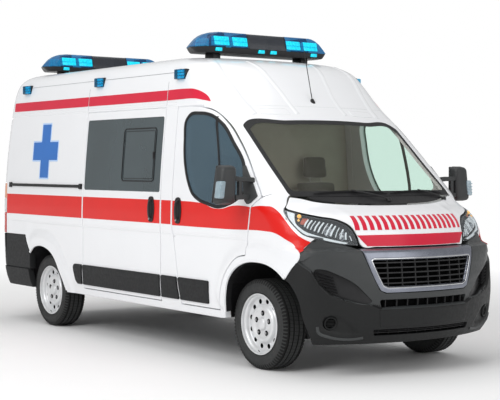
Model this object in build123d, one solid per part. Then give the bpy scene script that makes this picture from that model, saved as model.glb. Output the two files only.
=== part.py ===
from build123d import *
from collections import namedtuple
from math import cos, radians, sin, sqrt
import os

# High-roof ambulance van. Millimetres, +Z up, front faces -Y, the vehicle's left is +X.
# The origin is on the ground under the middle of the vehicle's length.
# Places along the vehicle are written as "station": the distance behind the front bumper.

# ---- driving dimensions ----
LENGTH = 5413
HALF_WIDTH = 1025
ROOF_HEIGHT = 2524
WHEELBASE = 3450
FRONT_AXLE = 930            # station of the front wheels
REAR_AXLE = FRONT_AXLE + WHEELBASE

WALL = 60                   # thickness of doors, side walls and roof, with their lining
GLASS = 10
GLASS_SETBACK = 4           # the glass lies this far under the painted surface
SHUT_GAP = 8                # gap round every door, lid and opening panel
SEAT_GAP = 0.3              # where two pieces of different bodies rest close together
TRIM = 10                   # how far plastic mouldings stand out of the wall

TYRE_RADIUS = 352
TYRE_WIDTH = 215
RIM_RADIUS = 238
FRONT_TRACK = 1660          # between the middles of the tyres
REAR_TRACK = 1750

WAIST = 1350                # lower edge of windscreen and side windows
CANT = 2079                 # top of the doors, where the high roof starts
SILL = 365
DOOR_BOTTOM = 425
LOAD_FLOOR = 560
FLOOR_THICK = 50
ROOF_LINING = 50

# One row per level of the body: the outline at that height is a shallow arc across
# the nose, a corner arc each side, straight flanks and a squarer tail.
Level = namedtuple("Level", "height nose arc corner half tail tail_corner")
LEVELS = [
    Level(250, 85, 1750, 310, 965, 5370, 240),
    Level(330, 35, 1750, 310, 995, 5390, 220),
    Level(600, 0, 1750, 315, HALF_WIDTH, 5400, 110),
    Level(945, 38, 1750, 325, HALF_WIDTH, 5400, 80),
    Level(975, 110, 1750, 330, HALF_WIDTH, 5400, 85),
    Level(1065, 135, 1750, 330, HALF_WIDTH, 5400, 85),
    Level(1140, 180, 1800, 330, HALF_WIDTH, 5400, 85),
    Level(1210, 270, 1900, 325, 1024, 5400, 85),
    Level(1285, 440, 2100, 320, 1022, 5400, 85),
    Level(WAIST, 512, 2300, 300, 1020, 5398, 85),
    Level(1924, 1200, 2500, 240, 976, 5375, 90),
    Level(2120, 1450, 2500, 250, 958, 5357, 95),
    Level(2300, 1630, 2500, 260, 938, 5330, 110),
    Level(2400, 1735, 2500, 270, 912, 5305, 130),
    Level(2455, 1830, 2400, 280, 872, 5275, 150),
    Level(2495, 1960, 2200, 280, 800, 5225, 170),
    Level(ROOF_HEIGHT, 2300, 1800, 220, 560, 5060, 200),
]


def at(station):
    """Y of a place this far behind the front bumper."""
    return station - LENGTH / 2


def level_wire(level, inset, drop):
    """Outline of the body at one level, moved inwards and down."""
    z = level.height - drop
    nose = at(level.nose) + inset
    arc = level.arc - inset
    corner = level.corner - inset
    half = level.half - inset
    tail = at(level.tail) - inset
    tail_corner = max(level.tail_corner - inset, 5)
    middle = half - corner                     # x of the corner arc's centre
    reach = sqrt((arc - corner) ** 2 - middle ** 2)
    corner_y = nose + arc - reach
    touch = (arc * middle / (arc - corner), nose + arc - arc * reach / (arc - corner))
    bend = sqrt(0.5)
    right = [
        (touch[0], touch[1]),
        (middle + corner * bend, corner_y - corner * bend),
        (half, corner_y),
        (half, tail - tail_corner),
        (half - tail_corner * (1 - bend), tail - tail_corner * (1 - bend)),
        (half - tail_corner, tail),
    ]
    a = [Vector(x, y, z) for x, y in right]
    b = [Vector(-x, y, z) for x, y in right]
    return Wire([
        Edge.make_three_point_arc(b[0], Vector(0, nose, z), a[0]),
        Edge.make_three_point_arc(a[0], a[1], a[2]),
        Edge.make_line(a[2], a[3]),
        Edge.make_three_point_arc(a[3], a[4], a[5]),
        Edge.make_line(a[5], b[5]),
        Edge.make_three_point_arc(b[5], b[4], b[3]),
        Edge.make_line(b[3], b[2]),
        Edge.make_three_point_arc(b[2], b[1], b[0]),
    ])


def envelope(inset=0, drop=0, levels=LEVELS):
    """The body's outer form, moved inwards by inset and down by drop."""
    return Solid.make_loft([level_wire(level, inset, drop) for level in levels], ruled=True)


def box(x, station, z):
    """Box from (low, high) pairs of x, station and height."""
    size = (x[1] - x[0], station[1] - station[0], z[1] - z[0])
    centre = ((x[0] + x[1]) / 2, at((station[0] + station[1]) / 2), (z[0] + z[1]) / 2)
    return Pos(*centre) * Box(*size)


def grown(points, gap):
    """Polygon with every side moved outwards by gap, or inwards if gap is negative."""
    count = len(points)
    area = sum(points[i - 1][0] * points[i][1] - points[i][0] * points[i - 1][1]
               for i in range(count))
    side = gap if area > 0 else -gap
    moved = []
    for i, (u, v) in enumerate(points):
        before, after = points[i - 1], points[(i + 1) % count]
        d1 = Vector(u - before[0], v - before[1]).normalized()
        d2 = Vector(after[0] - u, after[1] - v).normalized()
        n1, n2 = Vector(d1.Y, -d1.X), Vector(d2.Y, -d2.X)
        spread = max(1 + n1.dot(n2), 0.2)
        moved.append((u + side * (n1.X + n2.X) / spread, v + side * (n1.Y + n2.Y) / spread))
    return moved


def outline_face(points, gap, rounding):
    """Flat face inside an outline, grown by gap, with its corners rounded."""
    corners = [Vector(u, v, 0) for u, v in grown(points, gap)]
    face = Face(Wire.make_polygon(corners, close=True))
    return face.fillet_2d(rounding, face.vertices()) if rounding else face


def across(points, x=(-1300, 1300), gap=0, rounding=0):
    """Solid from a side-view outline of (station, height) points, between two x values."""
    plane = Plane(origin=(x[0], at(0), 0), x_dir=(0, 1, 0), z_dir=(1, 0, 0))
    return extrude(plane * outline_face(points, gap, rounding), amount=x[1] - x[0],
                   dir=(1, 0, 0))


def along(points, station, gap=0, rounding=0):
    """Solid from a front-view outline of (x, height) points, between two stations."""
    plane = Plane(origin=(0, at(station[0]), 0), x_dir=(1, 0, 0), z_dir=(0, -1, 0))
    return extrude(plane * outline_face(points, gap, rounding),
                   amount=station[1] - station[0], dir=(0, 1, 0))


def mirrored(points):
    """Whole outline from its right half, listed from top to bottom."""
    return points + [(-x, z) for x, z in reversed(points) if x]


def flip(shape):
    """The same piece on the other side of the vehicle."""
    return mirror(shape, about=Plane.YZ)


def cylinder(axis, centre, radius, length):
    """Cylinder of an axis letter, centred on (x, station, height)."""
    turn = {"x": Rot(0, 90, 0), "y": Rot(90, 0, 0), "z": Rot(0, 0, 0)}[axis]
    return Pos(centre[0], at(centre[1]), centre[2]) * turn * Cylinder(radius, length)


PARTS = {}


def keep(name, *shapes):
    """Store one sub-part: a solid, or like pieces that don't touch."""
    solids = [solid for shape in shapes for solid in shape.solids()]
    PARTS[name] = solids[0] if len(solids) == 1 else Compound(children=solids)


# Cutting solids reach past the body: half width, height and last station.
WIDE = 1300
HIGH = 3000
BEYOND = LENGTH + 50
ACROSS = (-WIDE, WIDE)
RIGHT = (-WIDE, -300)
LEFT = (300, WIDE)
NOSE = (-100, 350)          # stations that cut through the front bumper

# ---- outlines in the side view: (station, height) ----
CAB_DOOR_REAR = 2062
CAB_DOOR = [
    (1930, DOOR_BOTTOM), (CAB_DOOR_REAR, 1073), (CAB_DOOR_REAR, CANT), (1800, CANT),
    (1694, 2065), (1563, 2032), (1387, 1926), (1054, 1624), (835, 1379), (806, 1337), (912, 1259),
    (973, 882), (1100, 850), (1200, 783), (1286, 675), (1320, 553), (1352, DOOR_BOTTOM),
]
CAB_WINDOW = [
    (1913, 1959), (1865, 1999), (1716, 2011), (1570, 1992), (1448, 1931), (1245, 1759),
    (1070, 1585), (1000, 1460), (1240, 1262), (1365, 1251), (1510, 1271), (1644, 1300),
    (1752, 1355), (1820, 1445), (1882, 1585), (1917, 1793),
]
SLIDING_FRONT = 2240
SLIDING_REAR = 3640
SLIDING_DOOR = [
    (SLIDING_FRONT, DOOR_BOTTOM), (SLIDING_FRONT, CANT), (SLIDING_REAR, CANT),
    (SLIDING_REAR, DOOR_BOTTOM),
]
PANE_EDGE = 12
SLIDING_WINDOW = [
    (SLIDING_FRONT + PANE_EDGE, WAIST + 4), (SLIDING_FRONT + PANE_EDGE, 2000),
    (SLIDING_REAR - PANE_EDGE, 2000), (SLIDING_REAR - PANE_EDGE, WAIST + 4),
]
FRONT_ARCH = [
    (1290, 200), (1290, 372), (1264, 558), (1230, 679), (1145, 771), (1015, 832),
    (841, 852), (685, 838), (558, 794), (474, 740), (425, 698), (359, 592), (333, 445),
    (333, 200),
]
BUMPER_FRONT = 4742         # station where the rear bumper starts behind the wheel
REAR_ARCH = [
    (3968, 200), (3968, 365), (4101, 576), (4180, 670), (4270, 737), (4400, 782),
    (4564, 792), (4670, 765), (BUMPER_FRONT, 709), (BUMPER_FRONT, 200),
]
# Lower edge of the headlamp, from the bumper back to its rear tip.
LAMP_LOWER = [(192, 973), (289, 1008), (345, 1038), (400, 1067), (456, 1117), (537, 1189)]
# Side edge of the bonnet, from the nose back to the windscreen.
BONNET_SIDE = [
    (192, 978), (219, 1057), (267, 1131), (319, 1168), (406, 1197), (505, 1226), (623, 1256),
]
BONNET_REAR = [(642, 1283), (674, 1357), (634, 1342), (576, 1312), (515, 1293), (438, 1281)]
HEADLAMP = LAMP_LOWER + [(600, 1236)] + BONNET_SIDE[::-1]
BONNET = [(-100, 968)] + BONNET_SIDE + BONNET_REAR + [(-100, 1281)]
BUMPER_SEAM = [(345, 1038), (372, 972), (361, 901), (412, 825), (474, 740)]
BUMPER = [(-100, 200), (-100, 962), (180, 962)] + LAMP_LOWER[:2] + BUMPER_SEAM + FRONT_ARCH[10:]
FENDER = (
    BUMPER_SEAM[::-1] + LAMP_LOWER[3:] + [(600, 1236), (623, 1256), (642, 1283), (674, 1357)]
    + [(690, 1400), (806, 1337), (912, 1259), (973, 882), (1100, 850), (1200, 783), (1286, 675)]
    + [(1320, 553), (1352, DOOR_BOTTOM), (1352, SILL)] + FRONT_ARCH[1:9]
)
BUMPER_STEP = 540           # top of the rear bumper under the doors
BUMPER_CORNER = 880         # top of its corners
REAR_BUMPER_STEP = [(5600, 355), (5600, BUMPER_STEP), (BUMPER_FRONT, BUMPER_STEP),
    (BUMPER_FRONT, 355)]
REAR_BUMPER_CORNER = [
    (5600, BUMPER_STEP), (5600, BUMPER_CORNER), (4855, BUMPER_CORNER), (4803, 776),
    (BUMPER_FRONT, 709), (BUMPER_FRONT, BUMPER_STEP),
]
SCREEN_HALF = 833
WINDSCREEN = mirrored([(0, 1958), (420, 1950), (818, 1924), (SCREEN_HALF, WAIST)])

# ---- body shell ----
outer = envelope()
inner = envelope(WALL, ROOF_LINING)
skin = outer - inner
pane_outer = envelope(GLASS_SETBACK, GLASS_SETBACK)
pane_inner = envelope(GLASS_SETBACK + GLASS, GLASS_SETBACK + GLASS)

arches = across(FRONT_ARCH) + across(REAR_ARCH)
upper = skin & box(ACROSS, (0, LENGTH), (CANT, ROOF_HEIGHT + 10))
REAR_DOOR_TOP = 2230
REAR_DOOR_BOTTOM = 548
REAR_DOOR_HALF = 835
rear_opening = box((-REAR_DOOR_HALF, REAR_DOOR_HALF), (5100, BEYOND),
                   (REAR_DOOR_BOTTOM, REAR_DOOR_TOP))
keep("roof", upper - rear_opening)

lower = skin & box(ACROSS, (0, LENGTH), (SILL, CANT))
rear_part = across([
    (1352, SILL), (1352, DOOR_BOTTOM), (1930, DOOR_BOTTOM), (CAB_DOOR_REAR, 1073),
    (CAB_DOOR_REAR, CANT), (BEYOND, CANT), (BEYOND, SILL),
])
CORNER_INNER = REAR_DOOR_HALF + 30
bumper_zone = across(REAR_BUMPER_CORNER, (-WIDE, -CORNER_INNER))
bumper_zone += flip(bumper_zone)
walls = (lower & rear_part) - arches - bumper_zone - rear_opening
walls -= box(ACROSS, (BUMPER_FRONT, BEYOND), (200, BUMPER_STEP))
LEFT_WINDOW = [(2400, WAIST + 60), (2400, 1940), (3480, 1940), (3480, WAIST + 60)]
wall_right = walls & box((-WIDE, 0), (0, BEYOND), (0, HIGH))
wall_left = walls & box((0, WIDE), (0, BEYOND), (0, HIGH))
TAIL_LAMP = ((CORNER_INNER, WIDE), (5300, BEYOND), (BUMPER_CORNER, 1400))
lamp_zone = box(*TAIL_LAMP) + flip(box(*TAIL_LAMP))
keep("side_wall_right", wall_right - across(SLIDING_DOOR, RIGHT) - lamp_zone)
keep("side_wall_left", wall_left - across(LEFT_WINDOW, LEFT, rounding=40) - lamp_zone)
keep("tail_lamps", walls & lamp_zone)
keep("side_window_left", (pane_outer & across(LEFT_WINDOW, LEFT, -SEAT_GAP, 40)) - pane_inner)

keep("sliding_door", (skin & across(SLIDING_DOOR, RIGHT, -SHUT_GAP))
     - across(SLIDING_WINDOW, RIGHT, rounding=12))
keep("sliding_door_glass",
     (pane_outer & across(SLIDING_WINDOW, RIGHT, -SEAT_GAP, 12)) - pane_inner)

# ---- front end ----
# Seen from above, the bonnet ends square under its rear edge, so that it lifts clear.
BONNET_PLAN = [(0, 436), (128, 438), (476, 508), (663, 576), (828, 676), (WIDE, 676),
               (WIDE, -100)]
plan = BONNET_PLAN + [(-x, s) for x, s in reversed(BONNET_PLAN) if x]
plan_face = Face(Wire.make_polygon([Vector(x, at(s), 0) for x, s in grown(plan, -SHUT_GAP / 2)],
                                   close=True))
keep("bonnet", (skin & across(BONNET, gap=-SHUT_GAP / 2))
     & extrude(plan_face, amount=HIGH, dir=(0, 0, 1)))
front_skin = skin & box(ACROSS, (-50, 1500), (200, 1500))
fenders = (front_skin & across(FENDER)) - across(BONNET, gap=SHUT_GAP / 2)
fenders -= box((-SCREEN_HALF, SCREEN_HALF), (0, 2000), (WAIST - 10, 1500))
keep("fenders", fenders)
LAMP_INNER = 500
keep("headlamps", (front_skin & across(HEADLAMP)) - across(BONNET, gap=SHUT_GAP / 2)
     - box((-LAMP_INNER, LAMP_INNER), (0, 1000), (900, 1400)))

GRILLE_HOLE = mirrored([(506, 892), (418, 685), (380, 672)])
FRAME_OUTER = mirrored([(568, 950), (560, 930), (440, 655), (395, 640)])
SLOT = mirrored([(450, 585), (430, 530)])
LOWER_SLOT = mirrored([(486, 362), (470, 318)])
FOG = (790, 395)
FOG_RADIUS = 62
SCOOP = [(-925, 812), (-872, 820), (-741, 772), (-639, 712), (-491, 568), (-560, 560),
         (-712, 600), (-814, 647), (-876, 720)]
SCOOP_FLOOR = 22            # depth of the scoops and lamp recesses
BUMPER_GAP = 0.5
BONNET_GAP = 6              # between the bonnet and the grille frame
bumper = front_skin & across(BUMPER, gap=-BUMPER_GAP)
for hole in (SLOT, LOWER_SLOT):
    bumper -= along(hole, NOSE)
scoops = along(SCOOP, NOSE) + flip(along(SCOOP, NOSE))
fogs = (cylinder("y", (-FOG[0], 200, FOG[1]), FOG_RADIUS, 600)
        + cylinder("y", (FOG[0], 200, FOG[1]), FOG_RADIUS, 600))
recess_floor = envelope(SCOOP_FLOOR, 0)
bumper -= (scoops + fogs) - recess_floor
bumper -= along(FRAME_OUTER, NOSE, BUMPER_GAP)
keep("front_bumper", bumper)
GRILLE_ZONE = (-200, 400)
keep("grille_frame", (front_skin & along(FRAME_OUTER, NOSE)) - across(BONNET, gap=BONNET_GAP)
     - along(GRILLE_HOLE, GRILLE_ZONE))
GRILLE_SETBACK = 14
GRILLE_THICK = 40
GRILLE_TOP = 892
GRILLE_BOTTOM = 672
GRILLE_HALF = 506
GRILLE_BARS = 5
GRILLE_POSTS = 7
BAR = 11
grille_slab = envelope(GRILLE_SETBACK) - envelope(GRILLE_SETBACK + GRILLE_THICK)
grille_zone = along(GRILLE_HOLE, GRILLE_ZONE, -SEAT_GAP)
rim_zone = grille_zone - along(GRILLE_HOLE, (-250, 450), -BAR)
row_pitch = (GRILLE_TOP - GRILLE_BOTTOM) / (GRILLE_BARS + 1)
column_pitch = 2 * GRILLE_HALF / (GRILLE_POSTS + 1)
bars = rim_zone
for row in range(1, GRILLE_BARS + 1):
    z = GRILLE_BOTTOM + row_pitch * row
    bars += box((-GRILLE_HALF, GRILLE_HALF), (-100, 300), (z - BAR / 2, z + BAR / 2))
for column in range(1, GRILLE_POSTS + 1):
    x = -GRILLE_HALF + column_pitch * column
    bars += box((x - BAR / 2, x + BAR / 2), (-100, 300), (GRILLE_BOTTOM, GRILLE_TOP))
keep("grille", grille_slab & (bars & grille_zone))

SCUTTLE_LOW = 1281
scuttle = front_skin & box((-SCREEN_HALF, SCREEN_HALF), (300, 760), (SCUTTLE_LOW, WAIST))
keep("scuttle", scuttle - across(BONNET, gap=SHUT_GAP / 2) - across(FENDER, gap=BUMPER_GAP))

DOOR_INNER = 835            # the cab doors keep outside this half width
DOOR_RIGHT = (-WIDE, -DOOR_INNER)
SCREEN_CUT = mirrored(WINDSCREEN[:4] + [(SCREEN_HALF, WAIST - 100)])
pillars = skin & box(ACROSS, (690, CAB_DOOR_REAR), (WAIST, CANT))
pillars -= across(CAB_DOOR, (-WIDE, SHUT_GAP - DOOR_INNER))
pillars -= across(CAB_DOOR, (DOOR_INNER - SHUT_GAP, WIDE))
pillars -= along(SCREEN_CUT, (0, 2300))
keep("windscreen_frame", pillars - across(FENDER))
keep("windscreen", (pane_outer & along(WINDSCREEN, (0, 2300), -SEAT_GAP)) - pane_inner)

# ---- doors that swing ----
cab_door = skin & across(CAB_DOOR, DOOR_RIGHT, -SHUT_GAP)
cab_door = cab_door - across(CAB_WINDOW, RIGHT)
cab_glass = (pane_outer & across(CAB_WINDOW, RIGHT, -SEAT_GAP)) - pane_inner
keep("cab_door_right", cab_door)
keep("cab_door_left", flip(cab_door))
keep("cab_door_glass_right", cab_glass)
keep("cab_door_glass_left", flip(cab_glass))

REAR_WINDOW = [(150, WAIST + 40), (150, 1950), (700, 1950), (700, WAIST + 40)]
rear_leaf = skin & box((SHUT_GAP / 2, REAR_DOOR_HALF - SHUT_GAP), (5150, BEYOND),
                       (REAR_DOOR_BOTTOM + SHUT_GAP, REAR_DOOR_TOP - SHUT_GAP))
rear_leaf = rear_leaf & (outer - envelope(WALL, 0))
rear_hole = along(REAR_WINDOW, (5100, 5500), rounding=50)
tail_line = [(level.tail - GLASS_SETBACK, level.height) for level in LEVELS
             if WAIST <= level.height <= 2120]
pane_slab = across(tail_line + [(s - GLASS, z) for s, z in reversed(tail_line)], (100, 750))
rear_pane = pane_slab & along(REAR_WINDOW, (5100, 5500), -SEAT_GAP, 50)
# Two hinges a side: the leaf's knuckle stands on the pillar's, in line.
HINGE_X = REAR_DOOR_HALF + 3
HINGE_STATION = 5407
HINGE_RADIUS = 6
HINGE_HEIGHTS = (760, 1200)
KNUCKLE = 70
PLATE = (HINGE_STATION - 5.5, HINGE_STATION + 2)
PLATE_FOOT = (5395, PLATE[0] + 1)
leaf_hinges = []
pillar_hinges = []
for z in HINGE_HEIGHTS:
    top = (z + SEAT_GAP, z + KNUCKLE)
    leaf_hinges += [cylinder("z", (HINGE_X, HINGE_STATION, sum(top) / 2), HINGE_RADIUS,
                             top[1] - top[0])
                    + box((HINGE_X - 60, HINGE_X), PLATE, top)
                    + box((HINGE_X - 60, HINGE_X - 16), PLATE_FOOT, top)]
    pillar_hinges += [cylinder("z", (HINGE_X, HINGE_STATION, z - KNUCKLE / 2), HINGE_RADIUS,
                               KNUCKLE)
                      + box((HINGE_X, HINGE_X + 24), (5395, PLATE[1]), (z - KNUCKLE, z))]
leaf = rear_leaf - rear_hole
for hinge in leaf_hinges:
    leaf += hinge - outer
keep("rear_door_left", leaf)
keep("rear_door_right", flip(leaf))
hinges = [hinge - outer for hinge in pillar_hinges]
keep("rear_hinges", *hinges, *[flip(hinge) for hinge in hinges])
keep("rear_door_glass_left", rear_pane)
keep("rear_door_glass_right", flip(rear_pane))

# ---- rear bumper and tail lamps ----
BUMPER_OUT = LENGTH - 5400  # the rear bumper stands this far behind the doors
step = (Pos(0, BUMPER_OUT, 0) * skin) & across(REAR_BUMPER_STEP)
keep("rear_bumper", step + (skin & bumper_zone))

# ---- floor, wheel housings and chassis ----
WELL_INNER = 520
FRONT_WELL = [
    (1340, 200), (1340, 480), (1300, 640), (1200, 790), (1030, 872), (690, 866), (560, 824),
    (440, 745), (390, 640), (345, 480), (345, 200),
]
REAR_WELL = [
    (3950, 200), (3950, 500), (4010, 640), (4150, 770), (4330, 830), (4560, 815),
    (4700, 760), (4770, 640), (4790, 500), (4790, 200),
]
REAR_WELL_INNER = 600
LINER = 10
floor_plan = inner & box(ACROSS, (890, 5290), (LOAD_FLOOR - FLOOR_THICK, LOAD_FLOOR))
wells = across(FRONT_WELL, (WELL_INNER, WIDE), LINER)
wells += across(REAR_WELL, (REAR_WELL_INNER, WIDE), LINER)
# A plate on the floor carries the stretcher's base.
BASE_HALF = 300
BASE_PLATE = box((-BASE_HALF, BASE_HALF), (2900, 4900), (LOAD_FLOOR, LOAD_FLOOR + 6))
keep("floor", floor_plan - wells - flip(wells) + BASE_PLATE)
inside = inner & box(ACROSS, (0, LENGTH), (SILL, 1500))
liner = across(FRONT_WELL, (WELL_INNER, WIDE), LINER) - across(FRONT_WELL, (WELL_INNER, WIDE))
rear_liner = across(REAR_WELL, (REAR_WELL_INNER, WIDE), LINER) - across(
    REAR_WELL, (REAR_WELL_INNER + LINER, WIDE))
rear_liner -= box((0, WIDE), (REAR_AXLE - 80, REAR_AXLE + 80), (200, 520))
liners = (liner + rear_liner) & inside
keep("wheel_liners", liners, flip(liners))

RAIL = ((380, 460), (480, 5230), (400, LOAD_FLOOR - FLOOR_THICK))
rails = box(*RAIL) + flip(box(*RAIL))
for station in (500, 1500, 2500, 3600, 5150):
    rails += box((-RAIL[0][1], RAIL[0][1]), (station, station + 80), (420, 490))
keep("chassis", rails)

ARM_LOWER = 235             # height of the lower suspension arm's upper face
ARM_UPPER = 475             # height of the upper suspension arm's lower face
ARM_THICK = 24
FRONT_WHEEL_X = FRONT_TRACK / 2
REAR_WHEEL_X = REAR_TRACK / 2
subframe = box((-500, 500), (FRONT_AXLE - 60, FRONT_AXLE + 60), (ARM_LOWER - ARM_THICK, 300))
for side in (-1, 1):
    low, high = sorted((side * 460.0, side * 500.0))
    subframe += box((low, high), (FRONT_AXLE - 60, FRONT_AXLE + 60),
                    (ARM_LOWER - ARM_THICK, ARM_UPPER + ARM_THICK))
    low, high = sorted((side * 460.0, side * (FRONT_WHEEL_X + 14)))
    for z in (ARM_LOWER - ARM_THICK, ARM_UPPER):
        subframe += box((low, high), (FRONT_AXLE - 35, FRONT_AXLE + 35), (z, z + ARM_THICK))
keep("front_subframe", subframe)
FIREWALL = 890
FLOOR_BOTTOM = LOAD_FLOOR - FLOOR_THICK
keep("engine", box((-400, 400), (500, FIREWALL - 30), (FLOOR_BOTTOM, 880)))

# ---- wheels ----
DISC_FACE = 58              # the wheel disc's inner face, outboard of the tyre's middle
DISC_THICK = 14
BEAD = RIM_RADIUS - 12
HALF_TYRE = TYRE_WIDTH / 2
SHOULDER = TYRE_RADIUS - 3
TYRE_PROFILE = [
    (-HALF_TYRE + 19, BEAD), (-HALF_TYRE + 19, RIM_RADIUS + 2), (-HALF_TYRE + 3, 262),
    (-HALF_TYRE, 295), (-HALF_TYRE + 7, 330), (-HALF_TYRE + 25, SHOULDER),
    (-HALF_TYRE + 48, TYRE_RADIUS), (HALF_TYRE - 48, TYRE_RADIUS),
    (HALF_TYRE - 25, SHOULDER), (HALF_TYRE - 7, 330), (HALF_TYRE, 295),
    (HALF_TYRE - 3, 262), (HALF_TYRE - 19, RIM_RADIUS + 2), (HALF_TYRE - 19, BEAD),
]
FLANGE = HALF_TYRE - 7
RIM_PROFILE = [
    (0, 0), (0, 150), (-14, 190), (-16, BEAD - 10), (-DISC_FACE - FLANGE, BEAD - 10),
    (-DISC_FACE - FLANGE, RIM_RADIUS), (-DISC_FACE - FLANGE + 8, RIM_RADIUS),
    (-DISC_FACE - FLANGE + 8, BEAD), (-DISC_FACE + FLANGE - 8, BEAD),
    (-DISC_FACE + FLANGE - 8, RIM_RADIUS), (-DISC_FACE + FLANGE, RIM_RADIUS),
    (-DISC_FACE + FLANGE, BEAD - 10), (6, BEAD - 10), (2, 196), (26, 150), (20, 118),
    (DISC_THICK, 112), (DISC_THICK, 60), (DISC_THICK + 12, 50), (DISC_THICK + 12, 0),
]


def spun(profile, x, station):
    """Solid turned about a wheel's axis from (offset, radius) points."""
    face = Face(Wire.make_polygon([Vector(t, r, 0) for t, r in profile], close=True))
    solid = revolve(face, axis=Axis.X)
    return Pos(x, at(station), TYRE_RADIUS) * solid


WHEELS = {
    "front_left": (FRONT_WHEEL_X, FRONT_AXLE),
    "rear_left": (REAR_WHEEL_X, REAR_AXLE),
}
for place, (x, station) in WHEELS.items():
    tyre = spun(TYRE_PROFILE, x, station)
    rim = spun(RIM_PROFILE, x + DISC_FACE, station)
    other = place.replace("left", "right")
    keep(f"tyre_{place}", tyre)
    keep(f"tyre_{other}", flip(tyre))
    keep(f"rim_{place}", rim)
    keep(f"rim_{other}", flip(rim))

STUB_RADIUS = 48
BRAKE_RADIUS = 105
DRUM_RADIUS = 140
hub = cylinder("x", (FRONT_WHEEL_X + DISC_FACE / 2 - SEAT_GAP, FRONT_AXLE, TYRE_RADIUS),
               STUB_RADIUS, DISC_FACE)
hub += cylinder("x", (FRONT_WHEEL_X + DISC_FACE / 2, FRONT_AXLE, TYRE_RADIUS), BRAKE_RADIUS, 22)
KNUCKLE_LOW = ARM_LOWER + SEAT_GAP
KNUCKLE_HIGH = ARM_UPPER - SEAT_GAP
post = cylinder("z", (FRONT_WHEEL_X, FRONT_AXLE, (KNUCKLE_LOW + KNUCKLE_HIGH) / 2), 30,
                KNUCKLE_HIGH - KNUCKLE_LOW)
knuckle = hub + post
keep("knuckle_left", knuckle)
keep("knuckle_right", flip(knuckle))

BEAM_RADIUS = 42
SPRING_TOP = TYRE_RADIUS + BEAM_RADIUS + 16
axle_end = REAR_WHEEL_X + DISC_FACE - SEAT_GAP
axle = cylinder("x", (0, REAR_AXLE, TYRE_RADIUS), BEAM_RADIUS, 2 * axle_end)
for side in (-1, 1):
    low, high = sorted((side * 475.0, side * 545.0))
    axle += box((low, high), (3760, 5010), (SPRING_TOP - 20, SPRING_TOP))
    low, high = sorted((side * RAIL[0][1], side * 545.0))
    for station in (3760, 4950):
        axle += box((low, high), (station, station + 60), (SPRING_TOP - 20, 500))
    axle += cylinder("x", (side * (REAR_WHEEL_X + DISC_FACE / 2), REAR_AXLE, TYRE_RADIUS),
                     DRUM_RADIUS, 30)
keep("rear_axle", axle)

# ---- cab ----
DRIVER_X = 480
dash = across([(640, 1215), (700, 1262), (980, 1240), (1060, 1150), (1080, 930), (760, 890),
               (640, 1000)], (-880, 880))
dash &= envelope(WALL + 8, ROOF_LINING + 8)
keep("dashboard", dash)
front_wells = across(FRONT_WELL, (WELL_INNER, WIDE), LINER)
firewall = inner & box(ACROSS, (FIREWALL, FIREWALL + 15), (FLOOR_BOTTOM, 1100))
keep("firewall", firewall - dash - front_wells - flip(front_wells) - floor_plan)
BULKHEAD = 2130
keep("bulkhead", inner & box(ACROSS, (BULKHEAD, BULKHEAD + 30), (LOAD_FLOOR, 2400)))
seat = across([
    (1480, 700), (1480, 880), (1900, 860), (1990, 1420), (1985, 1480), (2010, 1680),
    (2080, 1680), (2100, 1420), (2060, 700), (2000, 690), (2000, LOAD_FLOOR),
    (1520, LOAD_FLOOR), (1520, 690),
], (DRIVER_X - 240, DRIVER_X + 240))
keep("seats", seat, flip(seat))
WHEEL_STATION = 1240
WHEEL_HEIGHT = 1190
WHEEL_RADIUS = 195
COLUMN_TILT = 52            # degrees between the steering column and level
column_plane = Plane(origin=(DRIVER_X, at(WHEEL_STATION), WHEEL_HEIGHT), x_dir=(1, 0, 0),
                     z_dir=(0, cos(radians(COLUMN_TILT)), sin(radians(COLUMN_TILT))))
steering = Torus(WHEEL_RADIUS, 15) + Pos(0, 0, -10) * Cylinder(60, 40)
for angle in (0, 120, 240):
    steering += Rot(0, 0, angle + 90) * Pos(WHEEL_RADIUS / 2, 0, -6) * Box(
        WHEEL_RADIUS - 10, 34, 14)
keep("steering_wheel", column_plane * steering)
COLUMN_LENGTH = 290
column = column_plane * (Pos(0, 0, -30 - SEAT_GAP - COLUMN_LENGTH / 2)
                         * Cylinder(32, COLUMN_LENGTH))
keep("steering_column", (column - dash).solids().sort_by(SortBy.VOLUME)[-1])

# ---- outside fittings ----
trim_shell = envelope(-TRIM, 0) - outer
MOULDING_LOW = 464
MOULDING_HIGH = 651
MOULDING = [(1500, MOULDING_LOW), (1500, MOULDING_HIGH), (3843, MOULDING_HIGH),
            (3775, MOULDING_LOW + 25), (3745, MOULDING_LOW)]
door_zone = across(CAB_DOOR, gap=-SHUT_GAP)
behind_door = box(ACROSS, (0, LENGTH), (0, HIGH)) - across(CAB_DOOR)
behind_door -= across([(SLIDING_REAR - SHUT_GAP, 300), (SLIDING_REAR, 300),
                       (SLIDING_REAR, 800), (SLIDING_REAR - SHUT_GAP, 800)])
behind_door -= across([(SLIDING_FRONT, 300), (SLIDING_FRONT + SHUT_GAP, 300),
                       (SLIDING_FRONT + SHUT_GAP, 800), (SLIDING_FRONT, 800)])
moulding_right = trim_shell & across(MOULDING, RIGHT)
HANDLE_OUT = 34


def handle(station):
    """Upright oval door handle on the right side."""
    half, low, high = 46, 1098, 1314
    grip = across([(station - half, low + 30), (station - half, high - 30),
                   (station - 20, high), (station + 20, high), (station + half, high - 30),
                   (station + half, low + 30), (station + 20, low), (station - 20, low)],
                  (-HALF_WIDTH - HANDLE_OUT, -HALF_WIDTH + 30))
    return grip - outer


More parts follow.
